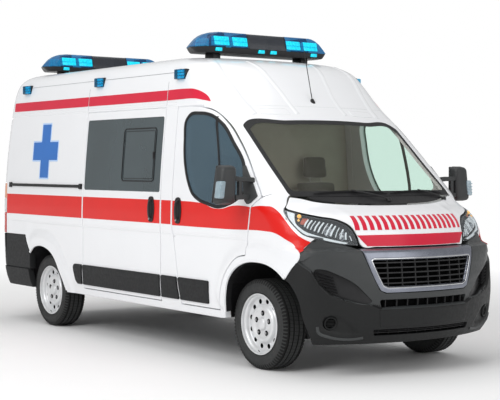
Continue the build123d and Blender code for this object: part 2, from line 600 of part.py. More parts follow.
CAB_HANDLE = 1960
SLIDING_HANDLE = 2392
door_trim = [moulding_right & door_zone, handle(CAB_HANDLE)]
keep("cab_door_trim_right", *door_trim)
keep("cab_door_trim_left", *[flip(piece) for piece in door_trim])
fixed_mouldings = moulding_right & behind_door
slide_rail = box((-HALF_WIDTH - 12, -900), (3660, 5210), (1368, 1398)) - outer
keep("side_trim", fixed_mouldings, handle(SLIDING_HANDLE), slide_rail, flip(fixed_mouldings))

# Door mirrors on two arms, fixed to the corner of the cab door.
MIRROR_OUT = 1345
MIRROR_IN = 1135
mirror_head = Pos(-(MIRROR_OUT + MIRROR_IN) / 2, at(955), 1432) * Box(
    MIRROR_OUT - MIRROR_IN, 110, 315)
mirror_head = fillet(mirror_head.edges(), 30)
sail = (envelope(-14, 0) - outer) & across(
    [(826, 1335), (1000, 1480), (1040, 1290), (930, 1262)], DOOR_RIGHT, -2)
mirror_arms = [
    box((-MIRROR_IN - 20, -1000), (915, 955), (z - 22, z + 22)) - outer for z in (1475, 1340)
]
mirror_piece = mirror_head + sail + mirror_arms[0] + mirror_arms[1]
keep("mirror_right", mirror_piece)
keep("mirror_left", flip(mirror_piece))

# Light bars: a tray on two feet, with a lens that tapers towards the top.
Bar = namedtuple("Bar", "height half tip front back")
BAR_LEVELS = [
    Bar(2560, 640, 665, 20, 300), Bar(2611, 655, 729, 0, 320), Bar(2743, 500, 531, 45, 275),
]
BAR_SPLIT = 2600
FRONT_BAR = 2100            # station of the front light bar's front edge
REAR_BAR = 4925
FOOT_X = 480


def bar_wire(level, station):
    middle = (level.front + level.back) / 2 - 20
    points = [
        (-level.tip, middle), (-level.half, level.front), (level.half, level.front),
        (level.tip, middle), (level.half, level.back), (-level.half, level.back),
    ]
    return Wire.make_polygon(
        [Vector(x, at(station + s), level.height) for x, s in points], close=True)


def light_bar(station):
    """The tray with its feet, and the lens above it."""
    whole = Solid.make_loft([bar_wire(level, station) for level in BAR_LEVELS], ruled=True)
    lower_part = whole & box((-900, 900), (station - 50, station + 400), (2400, BAR_SPLIT))
    lens = whole & box((-900, 900), (station - 50, station + 400), (BAR_SPLIT, 2800))
    for side in (-1, 1):
        low, high = sorted((side * (FOOT_X - 40.0), side * (FOOT_X + 40.0)))
        lower_part += box((low, high), (station + 90, station + 230), (2450, 2570)) - outer
    return lower_part, lens


trays, lenses = zip(*[light_bar(station) for station in (FRONT_BAR, REAR_BAR)])
keep("light_bar_trays", *trays)
keep("light_bar_lenses", *lenses)

SIDE_LAMPS = (2045, 3440, 4955)
SIDE_LAMP_HALF = 62
lamps = []
for station in SIDE_LAMPS:
    lamp = across([
        (station - SIDE_LAMP_HALF, 2302), (station - SIDE_LAMP_HALF, 2394),
        (station + SIDE_LAMP_HALF, 2394), (station + SIDE_LAMP_HALF, 2302),
    ], (-985, -850)) - outer
    lamps += [lamp, flip(lamp)]
keep("side_lamps", *lamps)

ANTENNA = (1457, 2119)
base = Pos(0, at(ANTENNA[0]), ANTENNA[1]) * Cylinder(28, 60) - outer
rod_plane = Plane(origin=(0, at(ANTENNA[0]), ANTENNA[1]), x_dir=(1, 0, 0),
                  z_dir=(0, 1578 - ANTENNA[0], 2563 - ANTENNA[1]))
rod = rod_plane * (Pos(0, 0, 230) * Cylinder(4, 460))
keep("antenna", (base + rod) - outer)

wiper_shell = envelope(-12, 0) - envelope(GLASS_SETBACK, GLASS_SETBACK)
wipers = [
    wiper_shell & box(sorted((side * 10.0, side * 680.0)), (0, 2000), (WAIST + 20, WAIST + 44))
    for side in (-1, 1)
]
keep("wipers", *wipers)

os.makedirs("parts", exist_ok=True)
for name, shape in PARTS.items():
    export_step(shape, f"parts/{name}.step")
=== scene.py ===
from math import ceil, cos, pi, radians, sin

import bmesh
import bpy
import numpy as np
from mathutils import Matrix, Vector
from mathutils.geometry import delaunay_2d_cdt


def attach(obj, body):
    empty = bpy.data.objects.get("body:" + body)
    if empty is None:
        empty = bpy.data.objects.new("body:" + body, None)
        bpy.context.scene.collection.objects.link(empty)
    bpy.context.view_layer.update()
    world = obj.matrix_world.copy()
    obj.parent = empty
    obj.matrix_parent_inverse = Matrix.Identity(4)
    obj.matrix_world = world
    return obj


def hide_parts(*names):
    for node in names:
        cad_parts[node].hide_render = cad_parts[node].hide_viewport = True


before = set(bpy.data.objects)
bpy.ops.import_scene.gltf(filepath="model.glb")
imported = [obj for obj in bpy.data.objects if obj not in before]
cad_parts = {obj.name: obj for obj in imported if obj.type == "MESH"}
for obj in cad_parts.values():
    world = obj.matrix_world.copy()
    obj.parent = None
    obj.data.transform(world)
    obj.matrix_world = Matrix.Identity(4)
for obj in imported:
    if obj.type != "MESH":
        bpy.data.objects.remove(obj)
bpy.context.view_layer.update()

# High-roof ambulance van. Shapes are written in millimetres as (x, station, z), where the
# station is the distance behind the front bumper, and become metres in piece().
LENGTH = 5413
WALL = 60                # thickness of doors and walls with their lining
GAP = 8                  # shut gap round doors and lids
WAIST = 1350             # lower edge of the windscreen
CANT = 2079              # top of the doors
ROOF_TOP = 2524
SILL = 365
DOOR_BOTTOM = 425
GLASS_OUT, GLASS_IN = 4, 14

# ---------------------------------------------------------------- materials


def fed(tree, node, inputs):
    """A node with its inputs linked to other nodes' outputs or set to values."""
    for key, value in inputs.items():
        if isinstance(value, bpy.types.NodeSocket):
            tree.links.new(value, node.inputs[key])
        else:
            node.inputs[key].default_value = value
    return node


def wired(tree, kind, inputs=None, **settings):
    """New node of a tree with its settings and inputs."""
    node = tree.nodes.new(kind)
    for key, value in settings.items():
        setattr(node, key, value)
    return fed(tree, node, inputs or {})


def new_material(name):
    material = bpy.data.materials.new(name)
    material.use_nodes = True
    tree = material.node_tree
    return material, tree, tree.nodes["Principled BSDF"]


def object_place(tree):
    return wired(tree, "ShaderNodeTexCoord").outputs["Object"]


def noise(tree, scale, detail=2.0, stretch=(1, 1, 1)):
    """Noise on Object coordinates, scale in cycles per metre."""
    mapping = wired(tree, "ShaderNodeMapping", {"Vector": object_place(tree), "Scale": stretch})
    return wired(tree, "ShaderNodeTexNoise", {
        "Vector": mapping.outputs["Vector"], "Scale": scale, "Detail": detail}).outputs["Fac"]


def spread(tree, fac, low, high, start=0.3, end=0.7):
    """Map a 0-1 value onto low-high."""
    return wired(tree, "ShaderNodeMapRange", {
        "Value": fac, "From Min": start, "From Max": end, "To Min": low,
        "To Max": high}).outputs["Result"]


def two_tone(tree, fac, first, second):
    return wired(tree, "ShaderNodeMix", {"Factor": fac, "A": (*first, 1), "B": (*second, 1)},
                 data_type="RGBA").outputs["Result"]


def scaled(colour, share):
    return tuple(min(c * share, 1) for c in colour)


def relief(tree, shader, height, distance, strength):
    bump = wired(tree, "ShaderNodeBump",
                 {"Height": height, "Distance": distance, "Strength": strength})
    tree.links.new(bump.outputs["Normal"], shader.inputs["Normal"])


def paint(name, colour, shade=0.9, gloss=0.22, coat=0.5, shine=0.5):
    """Clear-coated car paint or laid film with faint orange peel and a trace of dust."""
    material, tree, shader = new_material(name)
    dust = spread(tree, noise(tree, 3.0, 5, (1, 1, 1.6)), 0, 1)
    fed(tree, shader, {
        "Base Color": two_tone(tree, dust, colour, scaled(colour, shade)),
        "Roughness": spread(tree, noise(tree, 2.0, 2), gloss, gloss + 0.04),
        "Coat Weight": coat, "Coat Roughness": 0.05, "Specular IOR Level": shine})
    relief(tree, shader, noise(tree, 420, 1), 0.0001, 0.12)
    return material


def plastic(name, colour, rough=0.5, grain=1400, depth=0.00025, fade=1.35, shine=0.35):
    """Moulded plastic with a fine leather-like grain and uneven sheen."""
    material, tree, shader = new_material(name)
    cloud = spread(tree, noise(tree, 9.0, 4), 0, 1)
    fed(tree, shader, {
        "Base Color": two_tone(tree, cloud, colour, scaled(colour, fade)),
        "Roughness": spread(tree, noise(tree, 40, 3), rough - 0.07, rough + 0.08),
        "Specular IOR Level": shine})
    relief(tree, shader, noise(tree, grain, 2), depth, 0.5)
    return material


def metal(name, colour, rough=0.3, metallic=1.0, grain=260):
    """Bare, plated or aluminium-painted metal with fine marks."""
    material, tree, shader = new_material(name)
    marks = noise(tree, grain, 4)
    cloud = spread(tree, noise(tree, 14, 4), 0, 1)
    fed(tree, shader, {
        "Base Color": two_tone(tree, cloud, colour, scaled(colour, 0.86)), "Metallic": metallic,
        "Roughness": spread(tree, marks, rough - 0.06, rough + 0.1)})
    relief(tree, shader, marks, 0.00008, 0.3)
    return material


def hazy(tree, shader, colour, fade, rough, more):
    """Colour and roughness of a smooth clear surface with a faint haze."""
    haze = spread(tree, noise(tree, 2.2, 3), 0, 1)
    fed(tree, shader, {"Base Color": two_tone(tree, haze, colour, scaled(colour, fade)),
                       "Roughness": spread(tree, noise(tree, 30, 2), rough, rough + more)})


def clear(name, colour, alpha, rough=0.04, ior=1.7, ribs=None, coat=0.5):
    """Tinted window glass or a lamp lens; ribs are cycles per metre of moulded lines."""
    material, tree, shader = new_material(name)
    hazy(tree, shader, colour, 0.86, rough, 0.05)
    fed(tree, shader, {"Alpha": alpha, "IOR": ior, "Coat Weight": coat, "Coat Roughness": 0.03})
    if ribs:
        wave = wired(tree, "ShaderNodeTexWave", {"Vector": object_place(tree), "Scale": ribs[0]},
                     bands_direction=ribs[1])
        relief(tree, shader, wave.outputs["Fac"], 0.0012, 0.6)
    return material


def blend(tree, share, first, second):
    """Mix of two shaders, by a value or a socket."""
    return wired(tree, "ShaderNodeMixShader", {"Fac": share, 1: first, 2: second}).outputs["Shader"]


def glazing(name, tint, colour, share, rough=0.03):
    """Window glass or lens: light goes through tinted, and a share of it shows as the surface."""
    material, tree, shader = new_material(name)
    hazy(tree, shader, colour, 0.9, rough, 0.04)
    relief(tree, shader, noise(tree, 1.2, 1), 0.0004, 0.1)
    through = wired(tree, "ShaderNodeBsdfTransparent", {"Color": (*tint, 1)})
    fed(tree, tree.nodes["Material Output"], {
        "Surface": blend(tree, share, through.outputs["BSDF"], shader.outputs["BSDF"])})
    return material


def cells_of(tree, scale):
    return wired(tree, "ShaderNodeTexVoronoi",
                 {"Vector": object_place(tree), "Scale": scale}).outputs["Distance"]


def glow(name, colour, light, power):
    """Lit lamp module with a bright core broken up by its lens."""
    material, tree, shader = new_material(name)
    mixed = two_tone(tree, spread(tree, cells_of(tree, 60), 0, 1, 0, 0.9), light, colour)
    fed(tree, shader, {"Base Color": mixed, "Emission Color": mixed, "Emission Strength": power,
                       "Roughness": 0.25})
    return material


def cloth(name, colour, paler):
    """Woven seat fabric."""
    material, tree, shader = new_material(name)
    worn = spread(tree, noise(tree, 8, 5), 0, 1)
    fed(tree, shader, {"Base Color": two_tone(tree, worn, colour, paler), "Roughness": 0.85,
                       "Sheen Weight": 0.3})
    relief(tree, shader, cells_of(tree, 420), 0.0008, 0.6)
    return material


WHITE = paint("gloss_white_paint", (0.845, 0.855, 0.875), 0.985)
RED = paint("bright_red_film", (0.72, 0.012, 0.008), 0.93, 0.3, 0.15, 0.22)
CRIMSON = paint("crimson_film", (0.66, 0.016, 0.048), 0.92, 0.3, 0.15, 0.22)
BLUE_FILM = paint("blue_film", (0.028, 0.16, 0.52), 0.93, 0.3, 0.15, 0.22)
PALE_FILM = paint("pale_blue_film", (0.45, 0.62, 0.88), 0.96, 0.3, 0.15, 0.22)
BUMPER = plastic("charcoal_bumper_plastic", (0.031, 0.034, 0.035), 0.42, 1100, fade=1.1,
                 shine=0.5)
MOULDING_MAT = plastic("charcoal_moulding_plastic", (0.012, 0.0125, 0.0132), 0.5, 1300,
                       fade=1.2, shine=0.24)
BLACK = plastic("black_plastic", (0.012, 0.012, 0.013), 0.4, 900)
RUBBER = plastic("black_window_rubber", (0.008, 0.008, 0.009), 0.55, 600)
LINING = plastic("grey_door_lining", (0.30, 0.31, 0.32), 0.6, 700)
CAB_TRIM = plastic("dark_cab_plastic", (0.045, 0.045, 0.046), 0.6, 800)
CAB_WARM = plastic("warm_grey_cab_lining", (0.42, 0.405, 0.345), 0.7, 500, fade=1.12)
DASH_TOP = plastic("grey_dashboard_plastic", (0.15, 0.152, 0.142), 0.6, 800)
MIRROR_CASE = plastic("grey_mirror_plastic", (0.034, 0.036, 0.037), 0.45, 900, fade=1.2)
# darker copy of the bumper plastic on the lower half, the plate and the fog lamp rings: the
# darkening is painted shade
LOWER_BUMPER_SHADE = plastic("lower_bumper_plastic_painted_shade", (0.0105, 0.011, 0.0113), 0.48, 1100,
                     fade=1.1, shine=0.26)
CHROME = metal("satin_chrome", (0.27, 0.285, 0.335))
MIRROR = metal("mirror_silver", (0.72, 0.73, 0.75), 0.08)
REFLECTOR = metal("lamp_reflector", (0.55, 0.56, 0.58), 0.12)
WHEEL_SILVER = metal("wheel_silver", (0.80, 0.81, 0.82), 0.4, metallic=0.5)
BARE_STEEL = metal("bare_steel", (0.42, 0.42, 0.43), 0.4)
CHASSIS_BLACK = metal("chassis_black_paint", (0.03, 0.03, 0.032), 0.5, metallic=0.2)
CAST = metal("cast_iron", (0.16, 0.155, 0.15), 0.6, metallic=0.7, grain=500)
CAB_GLASS = glazing("cab_window_glass", (0.62, 0.74, 0.80), (0.085, 0.14, 0.18), 0.62)
MINT_GLASS = glazing("pale_window_glass", (0.86, 1.0, 0.96), (0.62, 0.95, 0.82), 0.03)
SCREEN_GLASS = glazing("windscreen_glass", (0.975, 0.975, 0.955), (0.22, 0.21, 0.17), 0.085)
DARK_GLASS = clear("load_space_glass", (0.07, 0.092, 0.1), 0.9, 0.04, 1.6, coat=0.0)
LENS = glazing("clear_lamp_lens", (0.97, 0.98, 0.99), (0.75, 0.8, 0.83), 0.05, 0.02)
BLUE_LENS = glazing("blue_lamp_lens", (0.30, 0.62, 0.85), (0.02, 0.10, 0.28), 0.5, 0.1)
SMOKE_LENS = clear("smoke_lamp_lens", (0.015, 0.02, 0.03), 0.93, 0.1, 1.6, (60, "X"), 0.1)
RED_LENS = clear("red_lamp_lens", (0.62, 0.02, 0.015), 0.94, 0.1, 1.6, (70, "Z"))
AMBER_LENS = clear("amber_lamp_lens", (0.9, 0.45, 0.3), 0.92, 0.1, 1.6, (70, "Z"))
MILK_LENS = clear("white_lamp_lens", (0.8, 0.82, 0.83), 0.9, 0.1, 1.6, (70, "Z"))
AMBER = glow("amber_bulb", (0.85, 0.40, 0.06), (1.0, 0.62, 0.2), 0.35)
CYAN = glow("cyan_lit_module", (0.0, 0.40, 0.56), (0.0, 0.66, 0.78), 0.62)
TYRE = plastic("tyre_rubber", (0.026, 0.027, 0.027), 0.7, 500, 0.0004, 1.5)
# darker copy of the tyre rubber: painted shade between the shoulder ribs, in the grooves and in the
# cross cuts
TYRE_SHADE = plastic("tyre_rubber_painted_shade", (0.007, 0.007, 0.007), 0.8, 500, 0.0004, 1.3)
SEAT_CLOTH = cloth("dark_seat_fabric", (0.034, 0.035, 0.034), (0.062, 0.063, 0.06))
FLOOR_VINYL = plastic("grey_floor_vinyl", (0.22, 0.225, 0.23), 0.55, 300)
LINER_BLACK = plastic("wheel_liner_plastic", (0.008, 0.008, 0.009), 0.85, 240, 0.0006)
# near-black sheets and discs in the openings paint the shade inside the grille, the slots, the fog
# lamp cups and the wheels' holes
HOLE_SHADE = plastic("painted_shade_black", (0.0018, 0.0018, 0.002), 0.85, 300, shine=0.05)
SEAM_GREY = plastic("seam_sealer", (0.2, 0.21, 0.22), 0.6, 700)
LAMP_GREY = plastic("lamp_housing", (0.012, 0.0125, 0.013), 0.35, 500)
# pale plastic for the lamp's trim, and for the reflector fins, where its brightness is painted
# highlight
PALE_TRIM_AND_GLINT = plastic("pale_lamp_trim_and_painted_glints", (0.80, 0.84, 0.84), 0.25, 500, fade=1.05)
INDICATOR_RED = plastic("indicator_cell", (0.42, 0.09, 0.05), 0.3, 200)
BOX_BLUE = glazing("side_lamp_lens", (0.45, 0.85, 1.0), (0.005, 0.17, 0.36), 0.4, 0.12)
BOX_CELL = glow("side_lamp_cell", (0.0, 0.2, 0.36), (0.01, 0.52, 0.74), 0.75)
DEEP_BLUE = glow("unlit_blue_module", (0.005, 0.08, 0.30), (0.02, 0.25, 0.6), 0.3)
LENS_TINT = clear("mirror_indicator_lens", (0.45, 0.6, 0.68), 0.7, 0.06, 1.6, (90, "Z"))

# ---------------------------------------------------------------- body surface
# height, nose, arc across the nose, corner radius, half width, tail, tail corner radius
LEVELS = np.array([
    (250, 85, 1750, 310, 965, 5370, 240), (330, 35, 1750, 310, 995, 5390, 220),
    (450, 10, 1750, 315, 1015, 5396, 150), (600, 0, 1750, 315, 1025, 5400, 110),
    (760, 10, 1750, 320, 1025, 5400, 90), (945, 38, 1750, 325, 1025, 5400, 80),
    (975, 110, 1750, 330, 1025, 5400, 85), (1065, 135, 1750, 330, 1025, 5400, 85),
    (1140, 180, 1800, 330, 1025, 5400, 85), (1210, 270, 1900, 325, 1024, 5400, 85),
    (1285, 440, 2100, 320, 1022, 5400, 85), (1350, 512, 2300, 300, 1020, 5398, 85),
    (1600, 815, 2400, 240, 1004, 5392, 85), (1924, 1200, 2500, 240, 976, 5375, 90),
    (2120, 1450, 2500, 250, 958, 5357, 95), (2300, 1630, 2500, 260, 938, 5330, 110),
    (2400, 1735, 2500, 270, 912, 5305, 130), (2455, 1830, 2400, 280, 872, 5275, 150),
    (2495, 1960, 2200, 280, 800, 5225, 170), (2515, 2120, 2000, 260, 700, 5155, 190),
    (2524, 2300, 1800, 220, 560, 5060, 200),
], float)


def level_at(z):
    """The level table's columns at each height, on smooth curves that never overshoot."""
    x, y = LEVELS[:, 0], LEVELS[:, 1:]
    h = np.diff(x)[:, None]
    d = np.diff(y, axis=0) / h
    m = np.zeros_like(y)
    w1, w2 = 2 * h[1:] + h[:-1], h[1:] + 2 * h[:-1]
    same = d[:-1] * d[1:] > 0
    safe = np.where(same, d[:-1], 1), np.where(same, d[1:], 1)
    m[1:-1] = np.where(same, (w1 + w2) / (w1 / safe[0] + w2 / safe[1]), 0)
    m[0], m[-1] = d[0], d[-1]
    z = np.clip(np.atleast_1d(np.asarray(z, float)), x[0], x[-1])
    i = np.clip(np.searchsorted(x, z, side="right") - 1, 0, len(x) - 2)
    t = ((z - x[i]) / h[i, 0])[:, None]
    y0, y1, m0, m1, step = y[i], y[i + 1], m[i], m[i + 1], h[i]
    value = (y0 * (1 + 2 * t) * (1 - t) ** 2 + m0 * step * t * (1 - t) ** 2
             + y1 * t * t * (3 - 2 * t) + m1 * step * t * t * (t - 1))
    nose, arc, corner, half, tail, round_ = value.T
    middle = half - corner
    reach = np.sqrt((arc - corner) ** 2 - middle ** 2)
    turn = np.arctan2(middle, reach)
    return nose, arc, corner, half, tail, round_, middle, nose + arc - reach, turn


def front(u, z):
    """Body point from u, the distance along the contour from the middle of the nose."""
    nose, arc, corner, _, _, _, middle, flank, turn = level_at(z)
    a = np.abs(u)
    first = arc * turn
    second = first + corner * (pi / 2 - turn)
    angle = np.where(a < first, a / arc, np.minimum(turn + (a - first) / corner, pi / 2))
    x = np.where(a < first, arc * np.sin(angle), middle + corner * np.sin(angle))
    s = np.where(a < first, nose + arc - arc * np.cos(angle), flank - corner * np.cos(angle))
    s = s + np.maximum(a - second, 0)
    way = np.sign(u) + (u == 0)
    return way * x, s, way * np.sin(angle), -np.cos(angle)


def u_at(s, z):
    """Contour distance from the nose of a place on the left half, given its station."""
    nose, arc, corner, _, _, _, _, flank, turn = level_at(z)
    touch = nose + arc - arc * np.cos(turn)
    near = arc * np.arccos(np.clip((nose + arc - s) / arc, -1, 1))
    bend = np.arccos(np.clip((flank - s) / corner, -1, 1))
    first = arc * turn
    return np.where(s <= touch, near, np.where(
        s < flank, first + corner * (bend - turn), first + corner * (pi / 2 - turn) + s - flank))


def u_of_x(x, z):
    """Contour distance from the nose of a place seen from the front at x."""
    _, arc, corner, _, _, _, middle, _, turn = level_at(z)
    a = np.abs(x)
    first = arc * turn
    wide = np.arcsin(np.clip((a - middle) / corner, -1, 1))
    u = np.where(a <= arc * np.sin(turn), arc * np.arcsin(np.clip(a / arc, 0, 1)),
                 first + corner * (wide - turn))
    return np.sign(x) * u


def flank(s, z):
    """Body point on the left side from its station."""
    return front(u_at(s, z), z)


def back(w, z):
    """Body point from w, the distance along the contour from the middle of the tail."""
    half, tail, round_ = level_at(z)[3:6]
    a = np.abs(w)
    flat = half - round_
    angle = np.clip((a - flat) / round_, 0, pi / 2)
    x = np.where(a < flat, a, flat + round_ * np.sin(angle))
    s = tail - round_ + round_ * np.cos(angle) - np.maximum(a - flat - round_ * pi / 2, 0)
    way = np.sign(w) + (w == 0)
    return way * x, s, way * np.sin(angle), np.cos(angle)


def w_at(s, z):
    """Contour distance from the tail's middle of a place on the left half."""
    half, tail, round_ = level_at(z)[3:6]
    bend = np.arccos(np.clip((s - tail + round_) / round_, 0, 1))
    return half - round_ + np.where(s > tail - round_, round_ * bend,
                                    round_ * pi / 2 + tail - round_ - s)


def put(domain, points, depth=0.0):
    """Rows of (x, station, z) for 2-D places on the body, sunk under its surface by depth."""
    points = np.asarray(points, float)
    x, s, nx, ns = domain(points[:, 0], points[:, 1])
    return np.column_stack([x - nx * depth, s - ns * depth, points[:, 1]])


def normals(domain, points):
    """Outward unit normals at 2-D places on the body."""
    points = np.asarray(points, float)
    step = 2.0
    du = put(domain, points + (step, 0)) - put(domain, points - (step, 0))
    dz = put(domain, points + (0, step)) - put(domain, points - (0, step))
    n = np.cross(du, dz)
    n /= np.linalg.norm(n, axis=1)[:, None]
    _, _, nx, ns = domain(points[:, 0], points[:, 1])
    facing = np.sign(n[:, 0] * nx + n[:, 1] * ns)
    return n * facing[:, None]


# ---------------------------------------------------------------- outlines


def path(points, step=22.0):
    """Dense closed outline, smooth through pairs; a third number is a corner's radius."""
    flat = np.array([p[:2] for p in points], float)
    corner = [len(p) > 2 for p in points]
    count = len(flat)
    sides = np.roll(flat, -1, axis=0) - flat
    size = np.linalg.norm(sides, axis=1)
    unit = sides / size[:, None]
    tangent = (unit * np.roll(size, 1)[:, None] + np.roll(unit, 1, axis=0) * size[:, None])
    tangent /= (size + np.roll(size, 1))[:, None]
    out, marks = [], []
    for i in range(count):
        j = (i + 1) % count
        m0, m1 = tangent[i], tangent[j]
        if corner[i] and corner[j]:
            m0 = m1 = unit[i]
        elif corner[i]:
            m0 = 1.5 * unit[i] - 0.5 * m1
        elif corner[j]:
            m1 = 1.5 * unit[i] - 0.5 * m0
        if corner[i] and points[i][2]:
            marks.append((len(out), points[i][2]))
        steps = max(1, ceil(size[i] / step))
        for t in np.arange(steps) / steps:
            out.append(flat[i] * (1 + 2 * t) * (1 - t) ** 2 + m0 * size[i] * t * (1 - t) ** 2
                       + flat[j] * t * t * (3 - 2 * t) + m1 * size[i] * t * t * (t - 1))
    out = np.array(out)
    if not marks:
        return out
    ring = np.vstack([out, out[:1]])
    along = np.concatenate([[0], np.cumsum(np.linalg.norm(np.diff(ring, axis=0), axis=1))])
    total = along[-1]

    def spot(length):
        length %= total
        return np.array([np.interp(length, along, ring[:, k]) for k in (0, 1)])

    keep = np.ones(len(out), bool)
    added = []
    for index, radius in marks:
        middle, peak = along[index], out[index]
        ahead, behind = spot(middle + 5) - peak, spot(middle - 5) - peak
        ahead, behind = ahead / np.linalg.norm(ahead), behind / np.linalg.norm(behind)
        bend = pi - np.arccos(np.clip(ahead @ behind, -1, 1))
        reach = min(radius * np.tan(bend / 2), radius * 2)
        lean = reach - 4 / 3 * np.tan(bend / 4) * reach / np.tan(bend / 2)
        gap = np.abs((along[:-1] - middle + total / 2) % total - total / 2)
        keep &= gap > reach + 1.5
        a, b = peak + behind * reach, peak + ahead * reach
        c, d = peak + behind * lean, peak + ahead * lean
        for t in np.linspace(0, 1, 8):
            added.append((middle - reach + 2 * reach * t, a * (1 - t) ** 3
                          + c * 3 * t * (1 - t) ** 2 + d * 3 * t * t * (1 - t) + b * t ** 3))
    everything = [(along[i], out[i]) for i in range(len(out)) if keep[i]]
    everything += [(length % total, p) for length, p in added]
    everything.sort(key=lambda item: item[0])
    return np.array([p for _, p in everything])


def area_of(loop):
    a, b = loop, np.roll(loop, -1, axis=0)
    return float(np.sum(a[:, 0] * b[:, 1] - b[:, 0] * a[:, 1])) / 2


def inset(loop, distance):
    """Loop moved to its left by a distance, point for point."""
    after = np.roll(loop, -1, axis=0) - loop
    size = np.linalg.norm(after, axis=1)
    after /= np.maximum(size, 1e-9)[:, None]
    for _ in range(2):             # points that lie on each other share one direction
        for k in np.flatnonzero(size < 1e-6):
            after[k] = after[k - 1]
    before = np.roll(after, 1, axis=0)
    n1 = np.column_stack([-before[:, 1], before[:, 0]])
    n2 = np.column_stack([-after[:, 1], after[:, 0]])
    spread_ = np.maximum(1 + np.sum(n1 * n2, axis=1), 0.5)
    moved = loop + distance * (n1 + n2) / spread_[:, None]
    edges = np.roll(loop, -1, axis=0) - loop
    for _ in range(40):            # where the bend is tighter than the inset, points meet
        turned_over = np.sum(edges * (np.roll(moved, -1, axis=0) - moved), axis=1) < -1e-9
        if not turned_over.any():
            break
        group = turned_over | np.roll(turned_over, 1)
        start = int(np.argmin(group))
        order = np.roll(np.arange(len(loop)), -start)
        run = []
        for k in list(order) + [order[0]]:
            if group[k] and k != order[0]:
                run.append(k)
            elif run:
                moved[run] = moved[run].mean(axis=0)
                run = []
    return moved


def inside(points, loops):
    """Which points lie inside the outer loop and outside the holes."""
    found = np.zeros(len(points), bool)
    for loop in loops:
        a, b = loop, np.roll(loop, -1, axis=0)
        for (x0, y0), (x1, y1) in zip(a, b):
            if y0 == y1:
                continue
            crosses = (points[:, 1] < y0) != (points[:, 1] < y1)
            found ^= crosses & (points[:, 0] < x0 + (points[:, 1] - y0) * (x1 - x0) / (y1 - y0))
    return found


def distance_to(points, loops):
    """Distance from each point to the nearest edge of the loops."""
    nearest = np.full(len(points), 1e9)
    for loop in loops:
        for a, b in zip(loop, np.roll(loop, -1, axis=0)):
            edge = b - a
            t = np.clip(((points - a) @ edge) / max(edge @ edge, 1e-12), 0, 1)
            nearest = np.minimum(nearest, np.linalg.norm(points - a - t[:, None] * edge, axis=1))
    return nearest


def filled(loops, spacing, rows=(), seeds=()):
    """Triangles that fill an outline with holes: (points, faces), loop points first."""
    border = np.vstack(loops)
    low, high = border.min(axis=0), border.max(axis=0)
    xs = np.arange(low[0] + spacing / 2, high[0], spacing)
    ys = np.arange(low[1] + spacing / 2, high[1], spacing * 0.87)
    grid = [(x + (spacing / 2 if k % 2 else 0), y) for k, y in enumerate(ys) for x in xs
            if not any(abs(y - row) < spacing * 0.45 for row in rows)]
    grid += [(x, row) for row in rows for x in xs]
    grid = np.array(grid).reshape(-1, 2)
    if len(seeds):
        grid = grid[[np.hypot(*(seeds - spot).T).min() > spacing * 0.55 for spot in grid]]
        grid = np.vstack([grid, seeds])
    if len(grid):
        grid = grid[inside(grid, loops)]
    if len(grid):
        near = distance_to(grid, loops)
        placed = np.isin(grid[:, 1], rows) if len(rows) else np.zeros(len(grid), bool)
        if len(seeds):
            placed |= np.array([np.hypot(*(seeds - spot).T).min() < 0.01 for spot in grid])
        grid = grid[near > np.where(placed, 7.0, spacing * 0.42)]
    points = np.vstack([border, grid]) if len(grid) else border
    edges, start = [], 0
    for loop in loops:
        n = len(loop)
        edges += [(start + k, start + (k + 1) % n) for k in range(n)]
        start += n
    result = delaunay_2d_cdt([Vector(p) for p in points], edges, [], 0, 1e-5)
    verts, faces, origin = result[0], result[2], result[3]
    source = [o[0] if o else -1 for o in origin]
    if -1 in source:
        lost = [tuple(round(c) for c in verts[k]) for k, o in enumerate(source) if o < 0]
        raise ValueError(f"outline crosses itself near {lost[:4]}")
    faces = np.array([[source[k] for k in face] for face in faces])
    centres = points[faces].mean(axis=1)
    return points, faces[inside(centres, loops)]


def grown(loop, distance):
    """Outline grown outwards, whichever way it runs."""
    return inset(loop, -distance if area_of(loop) > 0 else distance)


def turned(loops):
    """Outer loop counter-clockwise, holes clockwise."""
    first = loops[0] if area_of(loops[0]) > 0 else loops[0][::-1]
    return [first] + [loop if area_of(loop) < 0 else loop[::-1] for loop in loops[1:]]


# ---------------------------------------------------------------- shapes


class Shape:
    """Closed shells that become one piece: rows of points, faces, and a material per face."""

    def __init__(self):
        self.points, self.faces, self.marks, self.count = [], [], [], 0

    def add(self, points, faces, material=0):
        points = np.asarray(points, float)
        same, first = {}, []
        for k, p in enumerate(np.round(points, 3).tolist()):
            first.append(same.setdefault(tuple(p), k))
        faces = [[first[int(k)] for k in face] for face in faces]
        faces = [tuple(k for n, k in enumerate(face) if k != face[n - 1]) for face in faces]
        faces = [face for face in faces if len(set(face)) > 2]
        used = sorted({k for face in faces for k in face})
        index = {k: n for n, k in enumerate(used)}
        points = points[used]
        faces = [tuple(index[k] for k in face) for face in faces]
        volume = 0.0
        centre = points.mean(axis=0)
        for face in faces:
            a = points[face[0]] - centre
            for k in range(1, len(face) - 1):
                b, c = points[face[k]] - centre, points[face[k + 1]] - centre
                volume += np.dot(a, np.cross(b, c))
        if volume < 0:
            faces = [face[::-1] for face in faces]
        self.points.append(points)
        self.faces += [tuple(k + self.count for k in face) for face in faces]
        self.marks += [material] * len(faces)
        self.count += len(points)
        return self

    def flipped(self):
        """The same shells on the other side of the vehicle."""
        other = Shape()
        other.points = [p * (-1, 1, 1) for p in self.points]
        other.faces = [face[::-1] for face in self.faces]
        other.marks = list(self.marks)
        other.count = self.count
        return other

    def join(self, other):
        self.points += other.points
        self.faces += [tuple(k + self.count for k in face) for face in other.faces]
        self.marks += other.marks
        self.count += other.count
        return self


